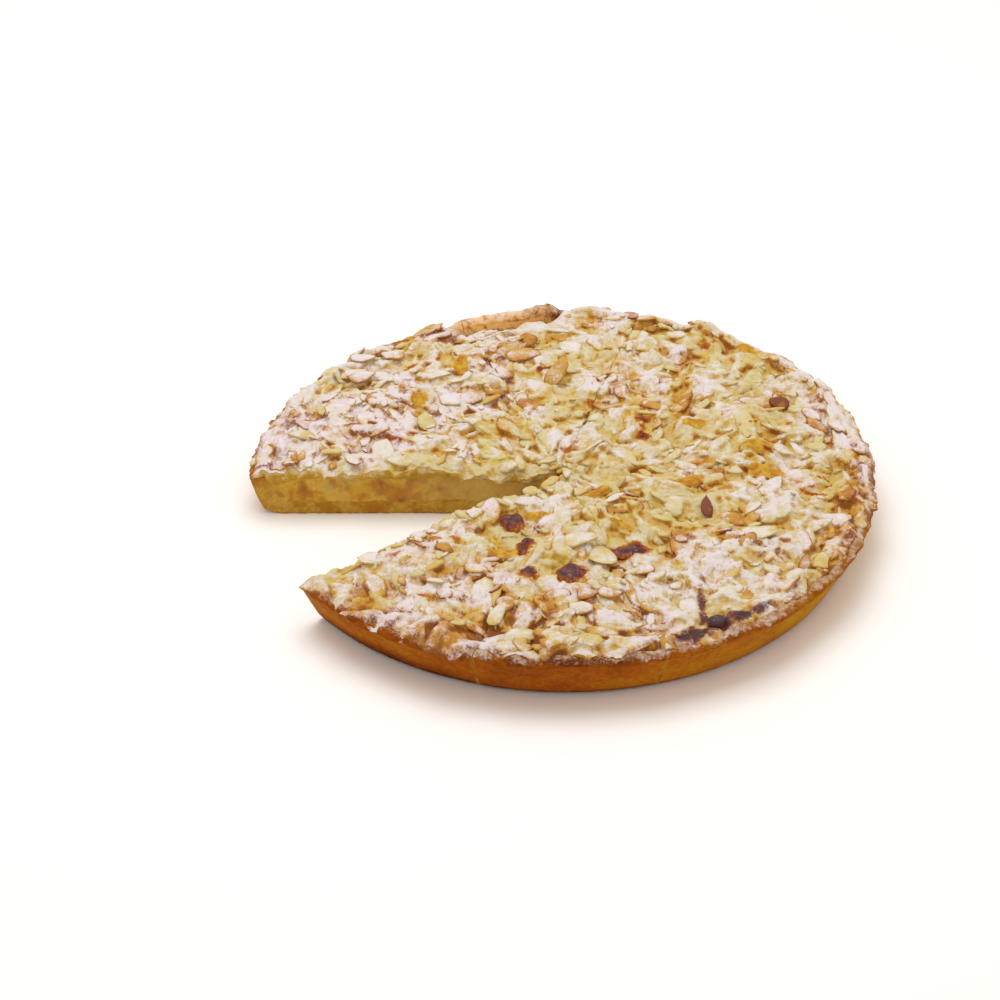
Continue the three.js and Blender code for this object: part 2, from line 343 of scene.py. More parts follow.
def pastry_outline(along):
    """Outer and inner outline of the shell's section at a place along it: 0 to 1 is the base from
    the tip outwards, 1 to 2 the wall, and 2 to 3 the rim, which narrows along an arc."""
    base, wall = np.clip(along, 0, 1), np.clip(along - 1, 0, 1)
    turn = np.clip(along - 2, 0, 1) * RIM_CAP_TURN
    outer_height = wall * RIM_SHOULDER
    inner_height = BASE_THICKNESS + wall * (RIM_SHOULDER - BASE_THICKNESS)
    corner = BASE_CORNER * np.clip(1 - outer_height / BASE_CORNER, 0, 1) ** 2
    middle = wall_outside(RIM_SHOULDER) - WALL_THICKNESS / 2
    half = WALL_THICKNESS / 2 * np.cos(turn)
    cap = RIM_ROUND * np.sin(turn)
    outer = np.where(along < 1, TIP_RADIUS + base * (BASE_RADIUS - BASE_CORNER - TIP_RADIUS),
                     np.where(along < 2, wall_outside(outer_height) - corner, middle + half))
    inner = np.where(along < 1, TIP_RADIUS + base * (wall_inside(BASE_THICKNESS) - TIP_RADIUS),
                     np.where(along < 2, wall_inside(inner_height), middle - half))
    return outer, outer_height + cap, inner, inner_height + cap


def pastry_slice(number, finish):
    """One slice's pastry: the section of the shell carried from one cut to the other, with a lumpy
    rim, a slightly uneven wall and crumbly cut faces. It is baked darker at the front, and darker
    towards the foot of the wall, most at the front left, as painted shade."""
    base_steps = OPEN_BASE_STEPS if number in GAP_SLICES else BASE_STEPS
    along = np.concatenate([np.linspace(0, 1, base_steps, endpoint=False),
                            np.linspace(1, 2, WALL_STEPS, endpoint=False), np.linspace(2, 3, RIM_STEPS)])
    across, inwards = np.linspace(0, 1, ROUND_STEPS), np.linspace(0, 1, DEPTH_STEPS)
    faces, along, share, depth = box_skin(along, across, inwards)
    outer, outer_height, inner, inner_height = pastry_outline(along)
    thickness = np.hypot(outer - inner, outer_height - inner_height)
    radius = outer + (inner - outer) * depth
    height = outer_height + (inner_height - outer_height) * depth
    x, y = slice_point(number, radius, share)
    angle = np.arctan2(y, x)
    bare_back = bell(angle, *BARE_BACK)
    on_rim = smooth(along, 1.75, 2.4)
    swell = rough(x, y, height, (0.35, 22, 1), (0.12, 5, 2))
    swell = swell + LEFT_SWELL * bell(angle, *LEFT) * (1 - (height / RIM_HEIGHT) ** 2)
    swell = swell * smooth(height, 0, 3) * (1 - depth) * (along > 1)
    lump = rough(x, y, 0, (0.9, 8, 3), (0.7, 3.5, 4)) + rough(x, y, height, (0.45, 1.7, 16))
    bulge = rough(x, y, 0, (0.8, 6, 14), (0.6, 2.8, 15)) + rough(x, y, height, (0.45, 1.6, 17))
    craggy = 1 - 0.45 * bare_back
    bulge = bulge * craggy * (1 - 0.8 * depth * rim_cover(angle))
    radius = radius + swell + (bulge + side_bulge(angle)) * on_rim
    height = height + lump * craggy * on_rim + rim_wave(angle) * (height / RIM_HEIGHT) ** 4
    height = height + base_wave(x, y) * depth * (along <= 1)
    ragged = np.maximum(0, grain(x, y, 0, 2.4, 5)) * 0.5 * (outer_height + depth == 0) * smooth(radius, 4, 12)
    x, y = slice_point(number, radius, share)
    x, y = push_cut_faces(number, x, y, share, cut_relief(x, y, height))
    front = bell(angle, *FRONT)
    bake_and_shade = 0.24 + 0.27 * front + rough(x, y, height, (0.10, 42, 8), (0.08, 8, 9))
    bake_and_shade = bake_and_shade + 0.10 * smooth(height, 8, 19) + 0.12 * (1 - 0.8 * front) * smooth(height, 19.5, 21.5)
    bake_and_shade = bake_and_shade + 0.2 * front * smooth(height, 21.8, 22.8)
    # Painted shade: the lower wall at the front left and the foot of the wall all round are darkened here,
    # where shade falls; the charred line on the back rim is real.
    bake_and_shade = bake_and_shade + bell(angle, *FRONT_LEFT) * (0.15 + 0.4 * smooth(-height, -12, -3))
    bake_and_shade = bake_and_shade + 0.5 * smooth(-height, -4.5, -0.4) + 0.4 * bell(angle, *CHARRED) * smooth(height, 22, 25)
    sugar = smooth(height, 20.8, 23.0) - 0.45 + 0.3 * grain(x, y, 0, 11, 10)
    sugar = sugar + sum(more * bell(angle, middle, half) for middle, half, more in RIM_SUGAR)
    from_skin = np.where(along > 1.9, np.minimum(depth, 1 - depth), depth)
    from_cut = np.minimum(share, 1 - share) * (CUTS[number] - CUTS[number - 1]) * radius
    marks = {"bake_and_shade": bake_and_shade, "depth": from_skin * thickness, "edge": from_cut, "sugar": sugar,
             "painted_light": bell(angle, *LIT_BACK_RIM) * smooth(height, 17, 21),
             "crags": on_rim * (1 - 0.75 * bare_back)}
    points = np.stack([x, y, height + ragged], -1)
    piece = new_piece(f"pastry_{number}", points, faces, marks, finish)
    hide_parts(f"crust_{number}")


pastry_finish = baked_pastry()
for number in SLICES:
    pastry_slice(number, pastry_finish)

# Apple filling: cooked apple pieces set in custard, poured into the shell and baked under the topping.
# It shows at the two cuts beside the gap as moist pieces with brown spots, painted mustard-yellow and tan:
# darker and warmer than the apple's own pale olive-cream, as painted shade in the gap.
CREST_RADIUS = 90.0
FILLING_TOP = (17.5, 20.0, 16.5)  # at the middle, on the crest and at the rim
LAYER_BITE = 0.05  # how far the layers have baked into each other
APPLE_STEPS, OPEN_APPLE_STEPS = 30, 150
APPLE_PIECE, APPLE_WARP = 13.0, 7.0  # size of the pieces, and how far their outlines wander
# Painted shade: these tones are darker and more orange than the cooked apple's own pale olive-cream.
SHADED_APPLE_TONES = [(0.0, (0.42, 0.17, 0.008)), (0.35, (0.56, 0.30, 0.02)), (0.7, (0.61, 0.38, 0.045)),
               (1.0, (0.53, 0.35, 0.08))]
APPLE_SEAM, APPLE_CORE, APPLE_SPOT = (0.38, 0.15, 0.010), (0.60, 0.42, 0.12), (0.30, 0.07, 0.012)


def crested_level(top, radius):
    """A level that eases from the middle up to the crest and from there down to the rim."""
    middle, crest, edge = top
    return (middle + (crest - middle) * smooth(radius, 0, CREST_RADIUS)
            + (edge - crest) * smooth(radius, CREST_RADIUS, TART_RADIUS))


def filling_level(radius, x, y):
    """Top of the filling: the crested level with lumps of apple, flat at the rim."""
    lumpy = rough(x, y, 0, (1.0, 11, 52), (0.6, 4, 53))
    return crested_level(FILLING_TOP, radius) + lumpy * smooth(-radius, -130, -118)


def cooked_apple():
    """Cells of apple in several tones, brown at some of the seams and paler near the tart's middle."""
    finish = Finish("cooked_apple", Roughness=0.4, Specular_IOR_Level=0.2, Subsurface_Weight=0.15,
                    Subsurface_Radius=(1.0, 0.65, 0.2), Subsurface_Scale=0.003)
    warp = finish.node("TexNoise", {"Vector": finish.place, "Scale": 1 / (9 * MM), "Detail": 2.0})
    shift = finish.node("VectorMath", {0: warp.outputs["Color"], "Scale": APPLE_WARP * MM}, operation="SCALE")
    place = finish.node("VectorMath", {0: finish.place, 1: shift.outputs[0]}, operation="ADD")
    finish.place = place.outputs[0]
    cells = finish.node("TexVoronoi", {"Vector": finish.place, "Scale": 1 / (APPLE_PIECE * MM)},
                        feature="SMOOTH_F1")
    tone = finish.node("SeparateColor", {0: cells.outputs["Color"]}).outputs[0]
    tone = finish.add(tone, finish.spread(finish.noise(5, 4, 0.6), -0.3, 0.3))
    fine = finish.noise(1.6, 4, 0.6)
    colour = finish.blend(finish.ease(fine, 0.5, 0.75, 0, 0.5), finish.ramp(tone, SHADED_APPLE_TONES), APPLE_SEAM)
    browned = finish.ease(finish.noise(9, 3, 0.6), 0.45, 0.65, 0, 0.75)
    colour = finish.blend(browned, colour, BAKED_BROWN)
    colour = finish.blend(finish.times(finish.mark("core"), 0.65), colour, APPLE_CORE)
    spots = finish.ease(finish.noise(9, 1, 0.4), 0.68, 0.78)
    colour = finish.blend(finish.times(spots, 0.7), colour, APPLE_SPOT)
    bump = finish.bump(fine, 0.5, finish.bump(finish.noise(5), 0.8))
    return finish.wire(Base_Color=colour, Normal=bump)


def apple_slice(number, finish):
    """One slice's filling: a block from the shell's floor to the crested level, with rounded lumps
    of apple on its cut faces."""
    steps = OPEN_APPLE_STEPS if number in GAP_SLICES else APPLE_STEPS
    faces, out, share, rise = box_skin(np.linspace(0, 1, steps), np.linspace(0, 1, 25), np.linspace(0, 1, 19))
    floor = BASE_THICKNESS - LAYER_BITE
    level = floor + (crested_level(FILLING_TOP, wall_inside(FILLING_TOP[2])) - floor) * rise
    angle = CUTS[number - 1] + (CUTS[number] - CUTS[number - 1]) * share
    reach = wall_inside(level - rim_wave(angle) * (level / RIM_HEIGHT) ** 4) + LAYER_BITE
    radius = TIP_RADIUS + (reach - TIP_RADIUS) * out
    x, y = slice_point(number, radius, share)
    floor = floor + base_wave(x, y)
    height = floor + (filling_level(radius, x, y) + LAYER_BITE - floor) * rise
    x, y = push_cut_faces(number, x, y, share, cut_relief(x, y, height))
    marks = {"core": smooth(-radius, -85, -30)}
    piece = new_piece(f"apple_{number}", np.stack([x, y, height], -1), faces, marks, finish)
    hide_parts(f"filling_{number}")


apple_finish = cooked_apple()
for number in SLICES:
    apple_slice(number, apple_finish)

# Almond topping: flaked almonds stirred into a pale batter, spread over the apple and baked.
# The flakes lie over each other as they fell, and the batter fills between them and coats most of them.
# The top is worked out as a map of levels, on which each flake settles in turn.
BATTER_TOP = (25.0, 27.6, 24.0)  # at the middle, on the crest and at the rim
LONGEST_LUMP, LUMP_COUNT, LUMP_SHRINK, LUMP_HEIGHT = 64.0, 6, 0.72, 0.013
GOLDEN_ANGLE = np.pi * (3 - np.sqrt(5))
OVERHANG, OVERHANG_WAVES = 0.6, 9
ROPE_ENDS = (230, 236.7, 242, 247.7, 252.1)  # degrees, where ropes of batter end on the rim
EDGE_STEPS = [(218, 3, -0.9), (240, 14, -4.5)] + [(end, 1.7, 3.8) for end in ROPE_ENDS]  # middle, half, out
FRONT_RUN = (271, 13)
FRONT_REACH = 2.4
CELL = 0.5  # of the map
AXIS = np.arange(-TART_RADIUS - 5, TART_RADIUS + 5, CELL)
MAP_X, MAP_Y = np.meshgrid(AXIS, AXIS, indexing="ij")
MAP_RADIUS = np.hypot(MAP_X, MAP_Y)
MAP_ANGLE = np.arctan2(MAP_Y, MAP_X)


def draw(n, salt):
    """A repeatable number from 0 to 1 for item n, with a different series for each salt."""
    wave = np.sin(n * 12.9898 + salt * 78.233) * 43758.5453
    return wave - np.floor(wave)


def lumps(x, y):
    """Lumps of the batter: plane waves, each shorter and turned by the golden angle."""
    height = 0
    for i in range(LUMP_COUNT):
        length = LONGEST_LUMP * LUMP_SHRINK**i
        along = x * np.cos(GOLDEN_ANGLE * i) + y * np.sin(GOLDEN_ANGLE * i)
        height = height + LUMP_HEIGHT * length * np.sin(2 * np.pi * along / length + i)
    return height


def batter_edge(angle):
    """Outer edge of the batter: a ragged line over the rim, or against its inside where it is bare. At the
    front left it is drawn in, but for the ropes' ends."""
    x, y = TART_RADIUS * np.cos(angle), TART_RADIUS * np.sin(angle)
    edge = TART_RADIUS + OVERHANG * np.sin(OVERHANG_WAVES * angle) + 2 * side_bulge(angle)
    for middle, half, out in EDGE_STEPS:
        edge = edge + out * bell(angle, middle, half)
    for middle, half, _, reach in BARE_RIMS:
        edge = edge + (wall_inside(RIM_SHOULDER) + reach - TART_RADIUS) * bare_share(angle, middle, half)
    return edge + rough(x, y, 0, (0.7, 7, 18), (0.6, 2.5, 19))


def spread_edge(angle):
    """The batter's edge once it has run out over the rim at the front, after the flakes had settled."""
    return batter_edge(angle) + FRONT_REACH * bell(angle, *FRONT_RUN)


def on_map(level, x, y):
    """The value of a map between its grid points, blended from the four round each place."""
    i, j = (x - AXIS[0]) / CELL, (y - AXIS[0]) / CELL
    i0, j0 = np.floor(i).astype(int), np.floor(j).astype(int)
    a, b = i - i0, j - j0
    return ((level[i0, j0] * (1 - a) + level[i0 + 1, j0] * a) * (1 - b)
            + (level[i0, j0 + 1] * (1 - a) + level[i0 + 1, j0 + 1] * a) * b)


def softened(level, spread):
    """A map blurred by a bell curve of the given spread, row by row and column by column."""
    share = np.exp(-0.5 * ((AXIS[:, None] - AXIS[None, :]) / spread) ** 2)
    share /= share.sum(1, keepdims=True)
    return share @ level @ share.T


def mottle(*layers):
    """The sum of several smooth noises over the map, each with an amount, a size and a seed."""
    return rough(MAP_X, MAP_Y, 0, *layers)


BACK_EDGE = 27.6  # level of the topping along its edge at the back
BACK_STRETCH, BACK_LUMP, FRONT_MOUNDS = (46, 42), (61, 3.5), (250, 40)
FLAKE_SINK = 2.4  # how far the batter lies below its finished level before the flakes fill it up
# Toasting round the top; the stretch at the front is painted shade that darkens the top towards the front,
# and the front-left edge is partly painted shade under the ropes.
TOASTED_AND_SHADED = [(52, 26, 110, 126, -0.3), (255, 40, 70, 125, 0.3),  # middle, half, between two radii, how much
           (236, 20, 118, 137, 0.35), (5, 32, 118, 137, 0.45)]
inward = np.clip(spread_edge(MAP_ANGLE) - MAP_RADIUS, 0, None)
edge_drop = 2.8 * (1 - np.clip(inward / 7, 0, 1)) ** 2
for middle, half, dip, _ in BARE_RIMS:
    edge_drop += dip * bare_share(MAP_ANGLE, middle, half) * (1 - np.clip(inward / 10, 0, 1)) ** 2
smooth_top = crested_level(BATTER_TOP, MAP_RADIUS) + lumps(MAP_X, MAP_Y)
at_back = bare_share(MAP_ANGLE, *BACK_STRETCH) * smooth(MAP_RADIUS, 112, 133)
back_lump = 2.2 * bell(MAP_ANGLE, *BACK_LUMP) * smooth(MAP_RADIUS, 122, 132)
mounds = np.abs(mottle((1.8, 15, 47))) + mottle((1.0, 6, 51)) + np.abs(mottle((0.8, 4, 61)))
mounds *= smooth(MAP_RADIUS, 118, 131)
mounds += mottle((1.5, 9, 57)) * bell(MAP_ANGLE, *FRONT_MOUNDS) * smooth(MAP_RADIUS, 85, 125)
batter_base = smooth_top + (BACK_EDGE - smooth_top) * at_back + back_lump + mounds - FLAKE_SINK - edge_drop
batter_base += mottle((0.9, 17, 20), (0.7, 8, 21), (0.4, 4, 22))
# Toasting of the top, which also carries the painted shade at the front.
toast_and_shade = 0.38 + mottle((0.38, 26, 27), (0.45, 9, 28), (0.15, 3.2, 38), (0.08, 1.7, 39))
toast_and_shade += 0.25 * smooth(MAP_RADIUS, 118, 137) - 0.22 * smooth(-MAP_RADIUS, -60, -20)
for middle, half, low, high, amount in TOASTED_AND_SHADED:
    toast_and_shade += amount * bell(MAP_ANGLE, middle, half) * smooth(MAP_RADIUS, low, high)

# The flakes: big ones on a sunflower spiral over the whole top, smaller ones and broken bits between
# them, and a row along the edge. None lies where a blister has pushed up, on the ropes or on the slope
# beside the gap.
BLISTERS = np.array([  # angle in degrees, radius, length, width, heading in degrees, rise, charring
    (244.4, 47.5, 11, 10, 100, 4.6, 0), (256, 58, 7, 5, 60, 1.8, 0), (256, 65, 5, 4.5, 0, 1.2, 0),
    (260.8, 80, 8, 7, 0, 1.8, 0), (273.8, 79.5, 14, 11.5, 5, 2.8, 0), (301, 127, 9, 8, 0, 2.6, 0.7),
    (293.5, 69, 12, 7, 20, 1.6, 0), (298, 70, 9, 6, 340, 1.3, 0),
])
FLAKE_KINDS = [  # count, first turn, lengths, widths as shares of them, inset
    (600, 23, (4, 8), (0.25, 0.6), -1.0), (900, 11, (8, 15), (0.28, 0.5), 1.5),
    (130, 0, (14, 20), (0.45, 0.62), 7.0),
]
EDGE_FLAKES = 130
FLAKE_DRIFT = 6.0
RIM_FLAKES = 0.82  # share of a spiral past which its flakes lie along the rim
FLAKE_TAPER = 0.3
BIG_FLAKE = 14.0
STEEP_SHARE, STEEP_TILT, FLAT_TILT = 0.25, 0.55, 0.25
GAP_MIDDLE = np.radians(199)
SLOPE_WIDTH = 4.0
ROPE_STRETCH = (239, 18)


def spiral_flakes(count, first, lengths, aspects, inset):
    """Places, headings and sizes of flakes on a sunflower spiral out to the batter's edge, each
    strayed a little, and laid along the rim near it."""
    n = np.arange(count)
    share = (n + 0.5) / count
    spiral = n * GOLDEN_ANGLE + first
    radius = np.sqrt(share) * (batter_edge(spiral) - inset) - FLAKE_DRIFT * draw(n, 1 + first)
    angle = spiral + FLAKE_DRIFT * (draw(n, 2 + first) - 0.5) / np.maximum(radius, FLAKE_DRIFT)
    along_rim = angle + np.pi / 2 + draw(n, 7 + first) - 0.5
    heading = np.where(share > RIM_FLAKES, along_rim, 2 * np.pi * draw(n, 7 + first))
    length = lengths[0] + (lengths[1] - lengths[0]) * draw(n, 3 + first)
    width = length * (aspects[0] + (aspects[1] - aspects[0]) * draw(n, 4 + first))
    return np.stack([radius * np.cos(angle), radius * np.sin(angle), heading, length, width], -1)


def edge_flakes(count):
    """Places, headings and sizes of flakes in a row round the batter's edge, laid roughly along it."""
    n = np.arange(count)
    angle = 2 * np.pi * (n + draw(n, 61)) / count
    radius = batter_edge(angle) - 2.5 - 5 * draw(n, 62)
    heading = angle + np.pi / 2 + 1.2 * (draw(n, 63) - 0.5)
    length = 8 + 7 * draw(n, 64)
    width = length * (0.45 + 0.2 * draw(n, 65))
    return np.stack([radius * np.cos(angle), radius * np.sin(angle), heading, length, width], -1)


flakes = np.concatenate([spiral_flakes(*kind) for kind in FLAKE_KINDS] + [edge_flakes(EDGE_FLAKES)])
flake_angle = np.mod(np.arctan2(flakes[:, 1], flakes[:, 0]) - CUTS[0], 2 * np.pi)
flakes = flakes[flake_angle < CUTS[-1] - CUTS[0]]
flake_angle = np.arctan2(flakes[:, 1], flakes[:, 0])
flake_radius = np.hypot(flakes[:, 0], flakes[:, 1])
from_gap = flake_radius * np.abs(np.sin(flake_angle[:, None] - CUTS[[0, -1]])).min(1)
on_slope = (from_gap < SLOPE_WIDTH) & (flake_radius > 25) & (np.cos(flake_angle - GAP_MIDDLE) > 0.9)
on_ropes = (bell(flake_angle, *ROPE_STRETCH) > 0.37) & (flake_radius > 124)
flakes = flakes[~on_slope & ~on_ropes]
blister_angle = np.radians(BLISTERS[:, 0])
apart = np.hypot(flakes[:, :1] - BLISTERS[:, 1] * np.cos(blister_angle),
                 flakes[:, 1:2] - BLISTERS[:, 1] * np.sin(blister_angle))
flakes = flakes[(apart > BLISTERS[:, 2] / 2 + 0.3 * flakes[:, 3:4]).all(1)]
shuffle = np.random.default_rng(7)
flakes = flakes[np.argsort(shuffle.random(len(flakes)) + 0.3 * (flakes[:, 3] > BIG_FLAKE))]
flake_number = np.arange(len(flakes))
flake_thickness = 1.0 + 0.5 * draw(flake_number, 31)
flake_toast_and_shade = on_map(toast_and_shade, flakes[:, 0], flakes[:, 1]) + 1.3 * (draw(flake_number, 54) - 0.5)
flake_toast_and_shade = np.clip(flake_toast_and_shade, 0, 1)
steep = np.where(draw(flake_number, 32) < STEEP_SHARE, STEEP_TILT, FLAT_TILT)
own_tilt = steep[:, None] * (2 * np.stack([draw(flake_number, 33), draw(flake_number, 34)], -1) - 1)

# A flake settles on a plane fitted to the levels under it, a little sunk, and the pile grows by its top.
turns = np.linspace(0, 2 * np.pi, 7)[:-1]
feet = np.concatenate([[(0, 0)], 0.5 * np.stack([np.cos(turns), np.sin(turns)], -1),
                       0.95 * np.stack([np.cos(turns + 0.5), np.sin(turns + 0.5)], -1)])
fit = np.linalg.pinv(np.column_stack([np.ones(len(feet)), feet]))
pile = batter_base.copy()
rim = np.zeros_like(pile)
flake_level = np.zeros(len(flakes))
flake_slope = np.zeros((len(flakes), 2))
for n, (x, y, heading, length, width) in enumerate(flakes):
    ahead = np.array([np.cos(heading), np.sin(heading)])
    aside = np.array([-ahead[1], ahead[0]])
    half = np.array([length, width]) / 2
    foot = np.array([x, y]) + feet[:, :1] * half[0] * ahead + feet[:, 1:] * half[1] * aside
    under = on_map(pile, foot[:, 0], foot[:, 1])
    level, slope = (fit @ under)[0], (fit @ under)[1:] / half
    proud = np.max(under - level - feet @ (slope * half))
    flake_level[n] = level + 0.2 * proud + flake_thickness[n] / 4
    flake_slope[n] = np.clip(slope, -0.5, 0.5) + own_tilt[n]
    i, j = np.round((np.array([x, y]) - AXIS[0]) / CELL).astype(int)
    reach = int(half[0] / CELL) + 1
    window = np.s_[max(i - reach, 0):i + reach + 1, max(j - reach, 0):j + reach + 1]
    away = np.stack([MAP_X[window] - x, MAP_Y[window] - y], -1)
    local = np.stack([away @ ahead, away @ aside], -1)
    taper = 1 - FLAKE_TAPER * local[..., 0] / half[0]
    share = np.hypot(local[..., 0] / half[0], local[..., 1] / half[1] / taper)
    top = flake_level[n] + local @ flake_slope[n] + flake_thickness[n] / 2
    on_top = (share < 1) & (top > pile[window])
    pile[window] = np.where(on_top, top, pile[window])
    rim[window] = np.where(on_top, smooth(share, 0.55, 1) * (0.3 + 0.7 * flake_toast_and_shade[n]), rim[window])

# Single flakes that stand out, laid on the pile last: angle in degrees, radius, heading in degrees, length,
# width, slope along, slope across, rise, toasting, sugar.
PLACED_FLAKES = np.array([
    (333.9, 71, 92, 12, 5, 0.3, 0.1, 1.6, 1.6, -1),
    (28.7, 114.5, 168, 10, 7.5, 0.1, -0.35, 1.4, 1.7, 0.2),
    (92.2, 71, 48, 17, 8.5, 0.9, 0.3, 4.0, 0.65, 0.3),
    (284.7, 70.6, 118, 18, 12, -0.1, 0.1, 1.0, -0.2, 0.1),
    (88, 99.6, 0, 12, 10.5, 0.0, 0.1, 1.3, 0.2, 0.6),
    (344.7, 123.9, 5, 15, 8, 0.0, 0.15, 1.0, 0.1, 0.5),
    (329, 99.9, 12, 17, 9, 0.05, 0.1, 1.0, 0.25, 0.2),
    (328.6, 129.8, 70, 12, 7, 0.1, 0.2, 1.0, 0.5, -0.1),
    (150.4, 71.5, 115, 12, 8, 0.3, 0.1, 1.4, 0.0, -1),
    (278, 62, 10, 15, 8, 0.1, 0.15, 1.0, 0.15, 0.2),
    (101.4, 94.2, 5, 17, 8, 0.05, 0.3, 1.6, 0.85, 0.1),
    (99.2, 106.2, 20, 9, 8, 0.0, 0.5, 2.2, 0.95, -1),
    (90.6, 110.9, 170, 11, 6, 0.05, -0.3, 1.4, 0.85, 0.1),
    (106.6, 52.6, 345, 14, 7, 0.0, 0.3, 1.4, 0.95, -0.4),
    (127.9, 68.3, 10, 10.5, 7, 0.0, 0.35, 1.4, 0.85, 0.2),
    (135.8, 71.9, 340, 11, 7, 0.0, 0.25, 1.3, 0.3, 0.8),
    (75.5, 134.2, 350, 11, 5, 0.05, 0.2, 0.8, 1.15, 0.0),
    (22, 123.9, 310, 14, 5, 0.0, 0.4, 1.6, 0.6, 0.1),
    (17.2, 122.4, 312, 14, 5, 0.0, 0.4, 1.6, 1.0, -0.5),
    (14.9, 128.8, 308, 12, 5, 0.0, 0.3, 1.4, 0.5, 0.1),
    (169.6, 120.5, 175, 13, 5.5, 0.0, -0.2, 1.2, 0.05, -1),
    (143.2, 118, 32, 15, 6.5, 0.0, 0.3, 1.4, 0.85, 0.2),
    (141.5, 127, 25, 14, 6, 0.0, 0.25, 1.3, 0.5, 0.7),
    (131.3, 123.1, 350, 12, 5, 0.0, 0.3, 1.3, 0.75, 0.4),
    (136.5, 132, 5, 13, 5, 0.0, 0.3, 1.3, 0.5, 0.6),
    (298.6, 112.8, 60, 11, 9, 0.0, 0.2, 0.5, 0.3, 0.5),
    (269.7, 95.5, 5, 12, 6, 0.1, 0.45, 0.7, 0.9, 0.1),
    (277, 97.6, 352, 10, 5.5, 0.2, 0.4, 0.6, 0.9, 0.0),
    (268.3, 101.9, 10, 9, 5, -0.1, 0.4, 0.6, 0.9, -0.2),
    (282.2, 99.5, 8, 11, 5.5, -0.2, 0.3, 0.5, 0.75, 0.2),
    (274.7, 106.2, 340, 12, 6.5, 0.2, 0.4, 0.7, 0.8, 0.6),
    (258.2, 103.4, 15, 12, 6, -0.2, 0.4, 0.6, 0.75, 0.3),
    (278.6, 121.5, 352, 16, 6, 0.05, 0.35, 0.8, 0.75, 0.3),
    (287.8, 82.9, 15, 12, 5.5, 0.2, 0.3, 0.5, 0.75, 0.0),
    (294.9, 85.2, 345, 11, 6, 0.2, 0.3, 0.5, 0.75, 0.2),
    (256.8, 111.1, 62, 15, 7, 0.2, 0.2, 0.7, 0.1, 0.4),
    (263, 122.9, 8, 16, 8, 0.1, 0.35, 0.7, 0.1, 0.4),
])
PLAIN_SHARE = 0.26  # of the flakes stayed clear of the sugar
placed_angle, placed_radius = np.radians(PLACED_FLAKES[:, 0]), PLACED_FLAKES[:, 1]
placed = np.column_stack([placed_radius * np.cos(placed_angle), placed_radius * np.sin(placed_angle),
                          np.radians(PLACED_FLAKES[:, 2]), PLACED_FLAKES[:, 3:5]])
placed_level = on_map(softened(pile, 1.5), placed[:, 0], placed[:, 1]) + PLACED_FLAKES[:, 7]
flake_sugar = np.where(draw(flake_number, 58) < PLAIN_SHARE, -1.0, 0.9 * draw(flake_number, 56) - 0.3)
flake_level = np.append(flake_level, placed_level)
flake_slope = np.concatenate([flake_slope, PLACED_FLAKES[:, 5:7]])
flake_toast_and_shade = np.append(flake_toast_and_shade, PLACED_FLAKES[:, 8])
flake_sugar = np.append(flake_sugar, PLACED_FLAKES[:, 9])
flakes = np.concatenate([flakes, placed])
flake_number = np.arange(len(flakes))
flake_thickness = 1.0 + 0.5 * draw(flake_number, 31)
laid_last = flake_number >= len(flakes) - len(placed)

# Scorches and painted shadows between flakes, golden lumps of apple that came up, juice that boiled over,
# dips, drifts of sugar, the one at the left also painting brighter light and the one at the back painted
# shade, and ropes of batter, at the places where they show: angle in degrees, radius, length, width,
# heading in degrees, and rise or amount.
SCORCHES_AND_SHADOWS = [
    (244, 48, 15, 13, 60, 0.8), (256, 61, 12, 8, 60, 0.8), (256, 67, 7, 6, 0, 0.7),
    (261, 81, 11, 9, 0, 0.7), (273.6, 80, 18, 14, 5, 0.8), (233, 74, 7, 6, 0, 0.5),
    (292, 69, 26, 12, 20, 0.75), (299, 71, 14, 9, 340, 0.9), (164, 78, 14, 5, 160, 0.75),
    (163, 100, 12, 5, 20, 0.7), (95, 82, 13, 5, 10, 0.9), (47, 54, 10, 6, 40, 0.8),
    (36, 46, 8, 6, 20, 0.8), (69, 104, 9, 6, 0, 0.6), (180.8, 131, 22, 2.2, 2, 0.7),
    (57, 125, 9, 5, 150, 0.6), (94, 135, 12, 5, 0, 0.6), (5, 60, 9, 4, 0, 0.6),
    (1, 40, 8, 4, 0, 0.55), (8, 93, 6, 5, 0, 0.8), (352, 113, 15, 3, 155, 0.65),
    (358, 115, 6, 4, 0, 0.6), (331, 109, 7, 4, 0, 0.6), (97, 98, 8, 5, 20, 0.6),
    (84, 15, 16, 4, 10, 0.5), (22, 91, 12, 3, 20, 0.6), (16, 98, 11, 3, 350, 0.6),
    (12, 125, 12, 3, 340, 0.6), (20, 109, 10, 3, 10, 0.55), (120, 60, 12, 4, 30, 0.55),
    (140, 90, 12, 4, 10, 0.5), (130, 112, 12, 4, 40, 0.55), (205, 60, 9, 4, 20, 0.5),
    (225, 100, 12, 4, 30, 0.5), (240, 112, 13, 3, 330, 0.55), (285, 108, 10, 4, 0, 0.55),
    (266, 100, 9, 4, 10, 0.6), (276, 101, 10, 5, 0, 0.6), (66, 80, 12, 4, 10, 0.55),
    (75, 55, 10, 4, 160, 0.5),
]
GOLDEN_LUMPS = [
    (9.5, 89, 14, 11, 20, 2.2), (359, 91, 16, 12, 10, 2.4), (351, 58, 12, 9, 0, 1.6),
    (49, 133, 11, 8, 140, 1.8), (142, 84, 10, 8, 60, 1.2), (92, 112, 10, 8, 0, 1.4),
    (310, 24, 14, 7, 30, 1.2), (255, 38, 12, 6, 0, 1.0), (250, 70, 15, 8, 10, 0.8),
    (300, 52, 13, 6, 170, 1.0), (30, 70, 11, 7, 20, 1.0), (120, 96, 11, 8, 100, 1.0),
]
